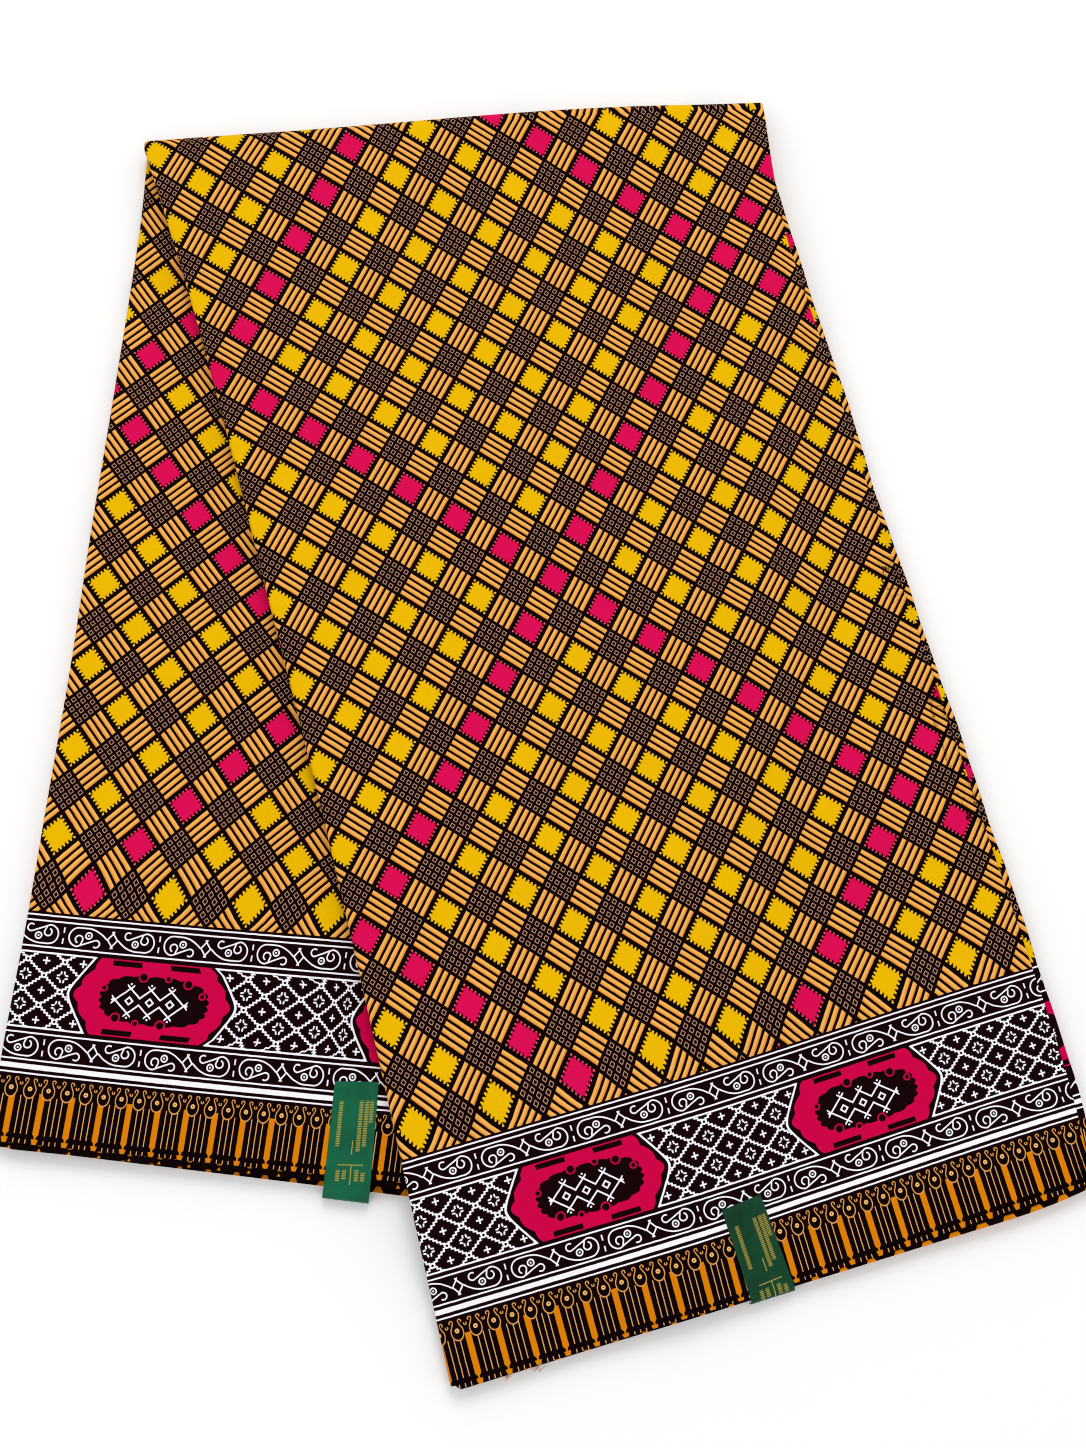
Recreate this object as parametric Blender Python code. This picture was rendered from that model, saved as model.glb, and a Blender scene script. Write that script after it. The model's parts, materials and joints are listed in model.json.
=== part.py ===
"""A full length of wax print cotton, folded into a strip of many layers and then folded in two.

Metres, +Z up. The cloth lies on Z = 0. The second fold runs along X at the far side, and the two halves
fan apart from it towards -Y: the front half on top, turned to the right, and the back half under it,
turned to the left. The origin is at the middle of the footprint, on the surface the cloth lies on.

Every solid is a block of cloth on a grid of stations, across lines and levels. Stations follow the strip
from the front selvedge, round the fold, to the back selvedge. Across lines run from the strip's left edge
to its right edge. Levels run out from the plane where the two halves meet.
"""

from math import cos, pi, radians, sin
from typing import NamedTuple

import bmesh
import bpy
import numpy as np

# The stack: a length of cloth folded to and fro in the strip's width
LAYERS = 17
LAYER = 0.000485
HALF_THICK = LAYERS * LAYER
WALL = 0.0011
GAP = 0.0003

# The second fold, which reaches a little past the line where both halves start
FOLD_LENGTH = 0.3327
FOLD_REACH = 0.0072
FOLD_STEPS = 8

# How the front half comes down to the surface past the back half's edges
DROP = HALF_THICK + GAP / 2
DROP_START = 0.010
DROP_RUN = 0.050

# The outer sheet's soft left edge, and how far its cut right edge lies inside the stack
CURL = 0.0021
CURL_STEPS = 4
CURL_TUCK = radians(12)
OUTER_INSET = 0.0065
INNER_INSET_LEFT = 0.0004
INNER_INSET_RIGHT = 0.0060

# Lines across the strip, as shares of its width, the same for every piece so that their facets agree
ACROSS = (0.03, 0.075, 0.12, 0.165, 0.21, 0.255, 0.30, 0.35, 0.40, 0.447, 0.483, 0.514, 0.549, 0.59, 0.635,
          0.68, 0.725, 0.77, 0.815, 0.86, 0.90, 0.935, 0.97)

# Folded layers at the edges of the hidden cloth, each a soft ridge with a groove beside it
GROOVE = 0.0006
CREST_FROM, CREST_TO = 0.25, 0.78

# Paper labels, folded down over the selvedges
PAPER = 0.0004
LABEL_REACH = 0.0052
LABEL_BEND = 0.0034
LABEL_BEND_STEPS = 4


class Half(NamedTuple):
    """One half of the folded strip, in its own axes from the fold's left end."""

    turn: float  # of its length from -Y towards +X
    length: float  # from the fold's line to the selvedge
    foot_left: float  # across, where the left edge meets the selvedge
    foot_right: float
    upper: bool  # lies on the other half
    shares: tuple  # stations, as shares of the length


FRONT = Half(
    turn=radians(9.7), length=0.641, foot_left=-0.0084, foot_right=0.3142, upper=True,
    shares=(0.03, 0.08, 0.13, 0.18, 0.23, 0.29, 0.35, 0.41, 0.47, 0.53, 0.59, 0.65, 0.70, 0.745, 0.785,
            0.82, 0.855, 0.885, 0.912, 0.935, 0.957, 0.98, 1.0),
)
BACK = Half(
    turn=radians(-13.05), length=0.514, foot_left=0.0134, foot_right=0.3354, upper=False,
    shares=(0.04, 0.12, 0.22, 0.32, 0.43, 0.54, 0.65, 0.76, 0.85, 0.905, 0.955, 1.0),
)


class Bow(NamedTuple):
    """How far each edge bows to the right of a straight line, at a share of the way from the fold."""

    share: float
    front_left: float
    front_right: float
    back_left: float
    back_right: float


BOWS = (
    Bow(0.00, 0.0, 0.0, 0.0, 0.0),
    Bow(0.06, 0.0019, -0.0025, 0.0028, -0.0006),
    Bow(0.14, 0.0040, -0.0045, 0.0035, -0.0010),
    Bow(0.26, 0.0055, -0.0034, 0.0035, -0.0012),
    Bow(0.40, 0.0057, -0.0028, 0.0031, -0.0010),
    Bow(0.55, 0.0062, -0.0009, 0.0025, -0.0004),
    Bow(0.68, 0.0051, 0.0010, 0.0018, 0.0004),
    Bow(0.80, 0.0035, 0.0019, 0.0012, 0.0008),
    Bow(0.90, 0.0018, 0.0013, 0.0006, 0.0005),
    Bow(1.00, 0.0, 0.0, 0.0, 0.0),
)


class Ridge(NamedTuple):
    """One folded edge of the hidden layers: how far it lies inside the outline, on each side."""

    left: float
    right: float
    front_foot: float  # less than nothing where it stands out past the selvedge above it
    back_foot: float


# From the middle plane outwards: up on the front half, down on the back half
RIDGES = (
    Ridge(left=0.0009, right=0.0022, front_foot=-0.0014, back_foot=-0.0006),
    Ridge(left=0.0015, right=0.0008, front_foot=-0.0022, back_foot=-0.0013),
    Ridge(left=0.0006, right=0.0030, front_foot=-0.0008, back_foot=-0.0009),
    Ridge(left=0.0018, right=0.0012, front_foot=-0.0017, back_foot=-0.0019),
    Ridge(left=0.0010, right=0.0024, front_foot=-0.0010, back_foot=-0.0026),
    Ridge(left=0.0004, right=0.0007, front_foot=-0.0020, back_foot=-0.0022),
    Ridge(left=0.0013, right=0.0028, front_foot=-0.0009, back_foot=-0.0031),
    Ridge(left=0.0028, right=0.0006, front_foot=-0.0003, back_foot=-0.0036),
)


class Finish(NamedTuple):
    """A surface's colour and shine."""

    colour: tuple
    roughness: float


PRINT_COTTON = Finish((0.46, 0.22, 0.07, 1.0), 0.72)
COTTON_EDGES = Finish((0.30, 0.14, 0.06, 1.0), 0.80)
GREEN_PAPER = Finish((0.012, 0.13, 0.075, 1.0), 0.38)


def along_rows(share, name):
    """A smooth curve through one column of the bow table: cubic pieces with the table's own slopes."""
    at = np.array([row.share for row in BOWS])
    value = np.array([getattr(row, name) for row in BOWS])
    slope = np.gradient(value, at)
    share = np.clip(share, 0.0, 1.0)
    i = np.clip(np.searchsorted(at, share, side="right") - 1, 0, len(at) - 2)
    step = at[i + 1] - at[i]
    t = (share - at[i]) / step
    start = (1 + 2 * t) * (1 - t) ** 2 * value[i] + t * (1 - t) ** 2 * step * slope[i]
    end = t * t * (3 - 2 * t) * value[i + 1] + t * t * (t - 1) * step * slope[i + 1]
    return start + end


def place(half, share, part, offset):
    """Point on a half, seen from above: part of the width from the left edge, and metres more.

    Both edges run straight from the fold's ends to the selvedge's ends, with the bow added across.
    """
    side = "front" if half.upper else "back"
    across = np.array([cos(half.turn), sin(half.turn)])
    down = np.array([sin(half.turn), -cos(half.turn)])
    fold_right = np.array([FOLD_LENGTH * cos(half.turn), FOLD_LENGTH * sin(half.turn)])
    left = share * half.foot_left + along_rows(share, side + "_left")
    right = (1 - share) * fold_right[0] + share * half.foot_right + along_rows(share, side + "_right")
    left_down = share * half.length
    right_down = (1 - share) * fold_right[1] + share * half.length
    width = np.hypot(right - left, right_down - left_down)
    part = part + offset / width
    x = left + part * (right - left)
    y = left_down + part * (right_down - left_down)
    return x[..., None] * across + y[..., None] * down


def middle_height(points):
    """Height of the front half's middle plane: half the stack over the back half, less past its edges.

    The distance past the back half's right edge and selvedge is eased over a run, like a step in cloth.
    """
    across = np.array([cos(BACK.turn), sin(BACK.turn)])
    down = np.array([sin(BACK.turn), -cos(BACK.turn)])
    top = np.array([FOLD_LENGTH, 0.0])
    foot = across * BACK.foot_right + down * BACK.length
    edge = (foot - top) / np.linalg.norm(foot - top)
    past_right = (points - top) @ np.array([-edge[1], edge[0]])
    past_foot = points @ down - BACK.length
    past = np.hypot(np.maximum(past_right, 0.0), np.maximum(past_foot, 0.0))
    t = np.clip((past - DROP_START) / DROP_RUN, 0.0, 1.0)
    return HALF_THICK - DROP * t * t * (3 - 2 * t)


class Station(NamedTuple):
    """A cross-section of the strip: on a half, or on the fold at an angle from straight up."""

    half: Half
    share: float
    angle: float


def leg(half, start):
    """Stations of one half, as far up as a share near the fold, in the strip's own direction."""
    shares = [start] + [share for share in half.shares if share > start]
    if half.upper:
        return [Station(half, share, 0.0) for share in reversed(shares)]
    return [Station(half, share, pi) for share in shares]


def bend():
    """Stations round the fold, from the top of the front half to the underside of the back half."""
    return [Station(FRONT, 0.0, pi * i / FOLD_STEPS) for i in range(FOLD_STEPS + 1)]


def shape(stations, part, offset, level, past=0.0):
    """Points of a block: arrays of across place and level, which may differ from station to station.

    past is how far a point lies short of its station, along the strip.
    """
    part, offset, level, past = np.broadcast_arrays(part, offset, level, past)
    points = np.zeros(part.shape + (3,))
    for i, station in enumerate(stations):
        share = station.share - past[i] / station.half.length
        flat = place(station.half, share, part[i], offset[i])
        flat[..., 1] += FOLD_REACH * level[i] / HALF_THICK * sin(station.angle)
        middle = middle_height(flat) if station.angle == 0.0 else HALF_THICK
        points[i, ..., :2] = flat
        points[i, ..., 2] = middle + level[i] * cos(station.angle)
    return points


def block(name, points, finish):
    """A closed solid on a grid of points: the faces of a box of stations, lines and levels."""
    counts = points.shape[:3]
    index = np.arange(np.prod(counts)).reshape(counts)
    quads = []
    for axis in range(3):
        sheets = np.moveaxis(index, axis, 0)
        for sheet, turned in ((sheets[0], axis != 1), (sheets[-1], axis == 1)):
            a, b, c, d = sheet[:-1, :-1], sheet[1:, :-1], sheet[1:, 1:], sheet[:-1, 1:]
            order = (a, d, c, b) if turned else (a, b, c, d)
            quads.append(np.stack([q.ravel() for q in order], axis=1))
    quads = np.concatenate(quads)
    used, local = np.unique(quads, return_inverse=True)
    vertices = points.reshape(-1, 3)[used]
    mesh = bpy.data.meshes.new(name)
    mesh.from_pydata(vertices.tolist(), [], local.reshape(quads.shape).tolist())
    work = bmesh.new()
    work.from_mesh(mesh)
    bmesh.ops.recalc_face_normals(work, faces=work.faces)
    work.to_mesh(mesh)
    work.free()
    piece = bpy.data.objects.new(name, mesh)
    piece.data.materials.append(material(name, finish))
    bpy.data.collections[COLLECTION].objects.link(piece)
    return piece


def material(name, finish):
    """A plain Principled material."""
    made = bpy.data.materials.new(name)
    made.use_nodes = True
    shader = made.node_tree.nodes["Principled BSDF"]
    shader.inputs["Base Color"].default_value = finish.colour
    shader.inputs["Roughness"].default_value = finish.roughness
    shader.inputs["Metallic"].default_value = 0.0
    return made


def outer_sheet(name, stations):
    """The outermost layer: a wall that curls down at its left edge and ends in a cut right edge."""
    turns = np.linspace(-CURL_TUCK, pi / 2, CURL_STEPS + 1)
    part, offset, level = [], [], []
    for radius in (CURL - WALL, CURL):
        curled = CURL - radius * np.cos(turns)
        part.append(np.concatenate([np.zeros(len(turns)), ACROSS, [1.0]]))
        offset.append(np.concatenate([curled, np.zeros(len(ACROSS)), [-OUTER_INSET]]))
        flat_level = np.full(len(ACROSS) + 1, HALF_THICK - CURL + radius)
        level.append(np.concatenate([HALF_THICK - CURL + radius * np.sin(turns), flat_level]))
    columns = [np.stack(c, axis=1)[None].repeat(len(stations), axis=0) for c in (part, offset, level)]
    return block(name, shape(stations, *columns), PRINT_COTTON)


def inner_sheet(name, stations):
    """The innermost layer of the back half, the one that shows: a wall with two cut edges."""
    part = np.concatenate([[0.0], ACROSS, [1.0]])[None, :, None]
    edges = [INNER_INSET_LEFT] + [0.0] * len(ACROSS) + [-INNER_INSET_RIGHT]
    offset = np.array(edges)[None, :, None]
    level = np.array([GAP / 2, GAP / 2 + WALL])[None, None, :]
    like = np.zeros((len(stations), 1, 1))
    return block(name, shape(stations, part + like, offset + like, level + like), PRINT_COTTON)


def ridge_levels():
    """Levels through the hidden layers, 0 to 1, with each level's ridge and whether it is a groove."""
    rows = []
    for i in range(len(RIDGES)):
        below = RIDGES[max(i - 1, 0)]
        rows.append((i / len(RIDGES), below, RIDGES[i], GROOVE))
        rows += [((i + at) / len(RIDGES), RIDGES[i], RIDGES[i], 0.0) for at in (CREST_FROM, CREST_TO)]
    rows.append((1.0, RIDGES[-1], RIDGES[-1], GROOVE))
    return rows


def hidden_layers(name):
    """All the layers between the outer and inner sheets: one rounded solid, layered at its edges."""
    stations = leg(FRONT, 0.0)[:-1] + bend() + leg(BACK, 0.0)[1:]
    rows = ridge_levels()
    rise = np.array([row[0] for row in rows])

    def inset(side):
        return np.array([max(getattr(below, side), getattr(ridge, side)) + groove
                         for _, below, ridge, groove in rows])

    turned = np.array([(1 - cos(station.angle)) / 2 for station in stations])[:, None, None]
    lowest = GAP / 2 + (WALL + GAP) * turned
    highest = HALF_THICK - WALL - GAP
    level = lowest + (highest - lowest) * rise
    part = np.concatenate([[0.0], ACROSS, [1.0]])[None, :, None]
    offset = np.zeros((1, part.shape[1], len(rows)))
    offset[0, 0] = inset("left")
    offset[0, -1] = -inset("right")
    past = np.zeros((len(stations), 1, len(rows)))
    past[0, 0] = inset("front_foot")
    past[-1, 0] = inset("back_foot")
    return block(name, shape(stations, part, offset, level, past), COTTON_EDGES)


def label(name, half, lines, start):
    """A paper strip that lies on a half's upper sheet and is folded down over its selvedge.

    Its flat part takes the sheet's own lines and stations, moved out. Its bend is a quarter of an
    ellipse past the selvedge, and then it hangs to just above the surface.
    """
    stations = leg(half, start)
    part = np.array(lines)[None, :, None].repeat(len(stations), axis=0)
    level = HALF_THICK if half.upper else GAP / 2
    flat = shape(stations, part, 0.0, level)[:, :, 0]
    if half.upper:
        flat = flat[::-1]
    down = np.array([sin(half.turn), -cos(half.turn), 0.0])
    up = np.array([0.0, 0.0, 1.0])
    walls = []
    for lift in (GAP, GAP + PAPER):
        top = flat + up * lift
        reach, drop = LABEL_REACH - PAPER + lift, LABEL_BEND + lift
        foot = flat[-1]
        rows = list(top)
        for i in range(1, LABEL_BEND_STEPS + 1):
            turn = pi / 2 * i / LABEL_BEND_STEPS
            rows.append(foot + down * reach * sin(turn) + up * (lift - drop * (1 - cos(turn))))
        low = rows[-1].copy()
        low[:, 2] = GAP
        rows.append(low)
        walls.append(np.array(rows[::-1] if half.upper else rows))
    return block(name, np.stack(walls, axis=2), GREEN_PAPER)


def centre_footprint(pieces):
    """Moves every mesh so that the whole footprint is centred on the origin."""
    corners = np.array([tuple(v.co) for piece in pieces for v in piece.data.vertices])
    middle = (corners.min(axis=0) + corners.max(axis=0)) / 2
    for piece in pieces:
        for vertex in piece.data.vertices:
            vertex.co.x -= middle[0]
            vertex.co.y -= middle[1]


COLLECTION = "wax_print_fabric"

for old in list(bpy.data.objects):
    bpy.data.objects.remove(old)
bpy.context.scene.collection.children.link(bpy.data.collections.new(COLLECTION))

front_start = GAP / FRONT.length
back_start = GAP / BACK.length
centre_footprint([
    outer_sheet("front_half_outer_sheet", leg(FRONT, front_start)),
    outer_sheet("fold_outer_sheet", bend()),
    outer_sheet("underside_outer_sheet", leg(BACK, back_start)),
    inner_sheet("back_half_inner_sheet", leg(BACK, back_start)),
    hidden_layers("hidden_layers"),
    label("front_label", FRONT, (0.447, 0.483, 0.514), 0.935),
    label("back_label", BACK, (0.483, 0.514, 0.549), 0.905),
])
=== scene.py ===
"""A folded length of wax print cotton: the looks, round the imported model.

The cloth is folded to and fro into a strip of many layers, and the strip is folded in two. The front half
lies on top, turned to the right, and the back half under it, turned to the left. Everything here is in
metres, in the frame's own axes. Each half also has its own flat axes, from the left end of the second fold:
across to the right, and down towards its selvedge. The print is drawn in those axes, in millimetres.
"""

import json
import logging
from abc import ABC, abstractmethod
from dataclasses import dataclass, field
from enum import Enum
from math import atan, cos, pi, radians, sin
from typing import Iterable

import bpy
import numpy as np
from mathutils import Matrix, Vector

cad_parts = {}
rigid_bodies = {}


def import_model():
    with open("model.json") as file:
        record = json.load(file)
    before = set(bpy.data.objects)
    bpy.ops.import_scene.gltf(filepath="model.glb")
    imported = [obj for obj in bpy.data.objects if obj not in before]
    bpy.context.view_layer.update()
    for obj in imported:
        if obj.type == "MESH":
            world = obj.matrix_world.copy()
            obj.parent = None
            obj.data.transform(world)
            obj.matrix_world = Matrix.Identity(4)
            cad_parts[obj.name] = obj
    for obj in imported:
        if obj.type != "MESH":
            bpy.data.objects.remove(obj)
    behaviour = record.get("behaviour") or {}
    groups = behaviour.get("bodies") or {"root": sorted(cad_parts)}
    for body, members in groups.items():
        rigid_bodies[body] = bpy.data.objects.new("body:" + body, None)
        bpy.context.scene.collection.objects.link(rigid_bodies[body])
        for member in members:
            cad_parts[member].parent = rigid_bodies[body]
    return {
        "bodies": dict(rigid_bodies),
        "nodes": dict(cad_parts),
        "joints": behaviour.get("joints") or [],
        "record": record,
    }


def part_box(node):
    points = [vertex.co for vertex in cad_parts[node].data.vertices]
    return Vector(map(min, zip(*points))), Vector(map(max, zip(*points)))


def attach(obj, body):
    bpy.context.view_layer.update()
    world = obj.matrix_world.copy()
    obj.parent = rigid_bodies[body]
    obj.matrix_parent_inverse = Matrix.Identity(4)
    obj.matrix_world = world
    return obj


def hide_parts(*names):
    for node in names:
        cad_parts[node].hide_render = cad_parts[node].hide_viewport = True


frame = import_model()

log = logging.getLogger("wax_print_fabric")

Colour = tuple[float, float, float, float]
Pair = tuple[float, float]
Place = tuple[float, float, float]
Lamp = tuple[str, Place, float]  # name, place and watts
Stroke = tuple[Pair, Pair]
Arc = tuple[Pair, float, float, float]  # as Drawing.arc takes it
Socket = bpy.types.NodeSocket

MM = 0.001
FAR = 9.0  # millimetres that keep a line from being drawn
BODY = "root"
PRINT_MAP = "Print"


def smooth(t: np.ndarray) -> np.ndarray:
    """An ease from 0 to 1: three t squared less two t cubed, flat outside that range."""
    t = np.clip(t, 0.0, 1.0)
    return t * t * (3 - 2 * t)


def lerp(start: np.ndarray, end: np.ndarray, share: np.ndarray) -> np.ndarray:
    """The value a share of the way from the start to the end."""
    return start + (end - start) * share


def dye(red: int, green: int, blue: int) -> Colour:
    """A colour seen as these display values, as linear light.

    Args:
        red: its red, from 0 to 255.
        green: its green.
        blue: its blue.

    Returns:
        The colour, opaque.
    """
    shown = np.array([red, green, blue]) / 255
    light = np.where(shown <= 0.04045, shown / 12.92, ((shown + 0.055) / 1.055) ** 2.4)
    return (*(float(value) for value in light), 1.0)


class Band(Enum):
    """The stretches of the print, in the order of the cloth's material slots."""

    FIELD = 0
    SCROLLS = 1
    TRELLIS = 2
    FRINGE = 3


class Term:
    """A number that a material works out at each point of a surface."""

    def __init__(self, tree: bpy.types.NodeTree, socket: Socket) -> None:
        """Holds the socket that gives the number."""
        self.tree = tree
        self.socket = socket

    def apply(self, operation: str, *others: "Term | float", clamp: bool = False) -> "Term":
        """One step of arithmetic on this number.

        Args:
            operation: the name of the Math node's operation.
            others: its other numbers, worked out or plain.
            clamp: whether the result is kept from 0 to 1.

        Returns:
            The result.
        """
        node = self.tree.nodes.new("ShaderNodeMath")
        node.operation = operation
        node.use_clamp = clamp
        for socket, value in zip(node.inputs, (self, *others)):
            if isinstance(value, Term):
                self.tree.links.new(value.socket, socket)
            else:
                socket.default_value = value
        return Term(self.tree, node.outputs[0])

    def __add__(self, other: "Term | float") -> "Term":
        """Sum."""
        return self.apply("ADD", other)

    def __sub__(self, other: "Term | float") -> "Term":
        """Difference."""
        return self.apply("SUBTRACT", other)

    def __mul__(self, other: "Term | float") -> "Term":
        """Product."""
        return self.apply("MULTIPLY", other)

    def scaled(self, factor: "Term | float", more: "Term | float") -> "Term":
        """This number times a factor, plus more."""
        return self.apply("MULTIPLY_ADD", factor, more)

    def eased(self, factor: "Term | float", more: "Term | float") -> "Term":
        """This number times a factor, plus more, kept from 0 to 1."""
        return self.apply("MULTIPLY_ADD", factor, more, clamp=True)

    def size(self) -> "Term":
        """Without its sign."""
        return self.apply("ABSOLUTE")

    def nearest(self) -> "Term":
        """The nearest whole number."""
        return self.apply("ROUND")

    def fold(self, period: float) -> "Term":
        """The distance to the nearest multiple of a period."""
        return self.apply("PINGPONG", period / 2)

    def within(self, period: float) -> "Term":
        """The place in one repeat, with 0 in its middle."""
        return self.apply("WRAP", period / 2, -period / 2)

    def least(self, *others: "Term | float") -> "Term":
        """The smallest of this and the others."""
        term = self
        for other in others:
            term = term.apply("MINIMUM", other)
        return term

    def most(self, *others: "Term | float") -> "Term":
        """The largest of this and the others."""
        term = self
        for other in others:
            term = term.apply("MAXIMUM", other)
        return term

    def reach(self, other: "Term") -> "Term":
        """The straight distance whose two parts are this and the other."""
        return other.apply("MULTIPLY_ADD", other, self * self).apply("SQRT")

    def below(self, edge: "Term | float") -> "Term":
        """1 where this is less than an edge."""
        return self.apply("LESS_THAN", edge)

    def above(self, edge: "Term | float") -> "Term":
        """1 where this is more than an edge."""
        return self.apply("GREATER_THAN", edge)

    def inked(self, edge: float, soft: float = 0.16) -> "Term":
        """1 where this distance is under an edge, with a soft step across it."""
        return self.eased(-1 / soft, edge / soft + 0.5)

    def spared(self) -> "Term":
        """1 less this: where it is 1 nothing is left."""
        return self.scaled(-1.0, 1.0)


class Drawing:
    """A material whose colour is drawn in the flat cloth's millimetres."""

    def __init__(self, name: str) -> None:
        """Starts a material of that name."""
        self.material = bpy.data.materials.new(name)
        self.material.use_nodes = True
        self.tree = self.material.node_tree
        self.shader = self.tree.nodes["Principled BSDF"]

    def node(self, kind: str, **settings: object) -> bpy.types.Node:
        """A new node of the tree.

        Args:
            kind: the node's type.
            settings: its properties, or the default values of its named inputs.

        Returns:
            The node.
        """
        made = self.tree.nodes.new(kind)
        for name, value in settings.items():
            if hasattr(made, name):
                setattr(made, name, value)
            else:
                made.inputs[name.replace("_", " ").title()].default_value = value
        return made

    def link(self, start: "Socket | Term | Colour | float", end: Socket) -> None:
        """Joins two sockets, or gives the second a plain value.

        Args:
            start: the first socket, or the value.
            end: the second socket.
        """
        if isinstance(start, (tuple, float)):
            end.default_value = start
        else:
            self.tree.links.new(start.socket if isinstance(start, Term) else start, end)

    def noise(self, where: Socket, **settings: object) -> bpy.types.Node:
        """A noise texture read at a place.

        Args:
            where: the place.
            settings: its scale and the like.

        Returns:
            The texture's node.
        """
        made = self.node("ShaderNodeTexNoise", **settings)
        self.link(where, made.inputs["Vector"])
        return made

    def flat_place(self, wobble: float = 0.0) -> tuple[Term, Term]:
        """Where a point lies on the flat cloth.

        Args:
            wobble: how far the lines of a hand-cut block stray, in millimetres.

        Returns:
            Millimetres across and up the cloth.
        """
        where = self.node("ShaderNodeUVMap", uv_map=PRINT_MAP).outputs["UV"]
        split = self.node("ShaderNodeSeparateXYZ")
        self.link(where, split.inputs[0])
        place = [Term(self.tree, split.outputs[i]) * (1 / MM) for i in (0, 1)]
        if wobble:
            parts = self.node("ShaderNodeSeparateColor")
            self.link(self.noise(where, scale=420.0, detail=0.0).outputs["Color"], parts.inputs[0])
            stray = [Term(self.tree, parts.outputs[i]).scaled(2 * wobble, -wobble) for i in (0, 1)]
            place = [part + more for part, more in zip(place, stray)]
        return place[0], place[1]

    def stroke(self, x: Term, y: Term, start: Pair, end: Pair) -> Term:
        """How far a point is from a straight stroke.

        Args:
            x: millimetres across.
            y: millimetres up.
            start: of the stroke.
            end: of the stroke.

        Returns:
            The distance, which runs round both ends.
        """
        run, rise = end[0] - start[0], end[1] - start[1]
        squared = run * run + rise * rise
        offset = -(start[0] * run + start[1] * rise) / squared
        along = x.eased(run / squared, y.scaled(rise / squared, offset))
        return along.scaled(-run, x - start[0]).reach(along.scaled(-rise, y - start[1]))

    def ring(self, x: Term, y: Term, centre: Pair, radius: float) -> Term:
        """How far a point is from a circle's line."""
        return ((x - centre[0]).reach(y - centre[1]) - radius).size()

    def arc(self, x: Term, y: Term, centre: Pair, radius: float, middle: float, half: float) -> Term:
        """How far a point is from an arc with round ends.

        Args:
            x: millimetres across.
            y: millimetres up.
            centre: of the arc's circle.
            radius: of that circle.
            middle: the angle to the arc's middle, in degrees.
            half: the angle from there to either end.

        Returns:
            The distance.
        """
        turn, end = radians(middle), radians(half)
        out, side = x - centre[0], y - centre[1]
        ahead = out.scaled(cos(turn), side * sin(turn))
        aside = out.scaled(-sin(turn), side * cos(turn)).size()
        past = ahead.scaled(sin(end), aside * -cos(end)).below(0.0)
        line = (ahead.reach(aside) - radius).size() + past * FAR
        return line.least((ahead - radius * cos(end)).reach(aside - radius * sin(end)))

    def mix(self, under: "Colour | Socket", over: "Colour | Socket", share: "Term | float") -> Socket:
        """One colour laid over another where the share is 1.

        Args:
            under: the first colour.
            over: the one laid over it.
            share: how much of it covers the first.

        Returns:
            The colour's socket.
        """
        node = self.node("ShaderNodeMix", data_type="RGBA", clamp_factor=True)
        for value, i in ((share, 0), (under, 6), (over, 7)):
            self.link(value, node.inputs[i])
        return node.outputs[2]

    def relief(self, height: "Socket | Term", strength: float, distance: float) -> None:
        """Lights the surface as if it rose by a height.

        Args:
            height: from 0 to 1.
            strength: of the effect.
            distance: how high a height of 1 is, in metres.
        """
        bump = self.node("ShaderNodeBump", strength=strength, distance=distance)
        self.link(height, bump.inputs["Height"])
        self.link(bump.outputs["Normal"], self.shader.inputs["Normal"])

    def finished(self, colour: "Socket | Colour", roughness: float, specular: float) -> bpy.types.Material:
        """The material, with its colour and gloss.

        Args:
            colour: a socket, or one colour all over.
            roughness: from 0, a mirror, to 1.
            specular: the strength of its reflections.

        Returns:
            The material.
        """
        sockets = self.shader.inputs
        self.link(colour, sockets["Base Color"])
        sockets["Roughness"].default_value = roughness
        sockets["Specular IOR Level"].default_value = specular
        return self.material


@dataclass(frozen=True)
class Dyes:
    """The print's colours, as they look in plain light, with one pink darkened as painted shade."""

    night: Colour = dye(20, 2, 6)
    pitch: Colour = dye(12, 2, 3)
    yellow: Colour = dye(233, 182, 1)
    pink: Colour = dye(217, 12, 82)
    # the medallions' pink: the pink darkened as painted shade, for the medallions that lie near the feet,
    # where the light falls off
    shaded_pink: Colour = dye(203, 3, 70)
    amber: Colour = dye(228, 139, 47)
    light_amber: Colour = dye(240, 178, 88)
    deep_amber: Colour = dye(218, 126, 6)
    gold: Colour = dye(220, 154, 78)
    straw: Colour = dye(228, 168, 106)
    sand: Colour = dye(196, 146, 116)
    tip: Colour = dye(242, 186, 108)
    white: Colour = dye(248, 245, 250)


class Motif(ABC):
    """One kind of stretch of the print, drawn on the flat cloth."""

    @abstractmethod
    def colour(self, ink: Drawing, x: Term, y: Term, dyes: Dyes) -> Socket:
        """Draws the stretch.

        Args:
            ink: the material.
            x: millimetres across, from the middle of a medallion, or from a crossing of two pink rows.
            y: millimetres up, from the print's own edge, or from that crossing.
            dyes: the colours.

        Returns:
            The colour's socket.
        """


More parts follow.
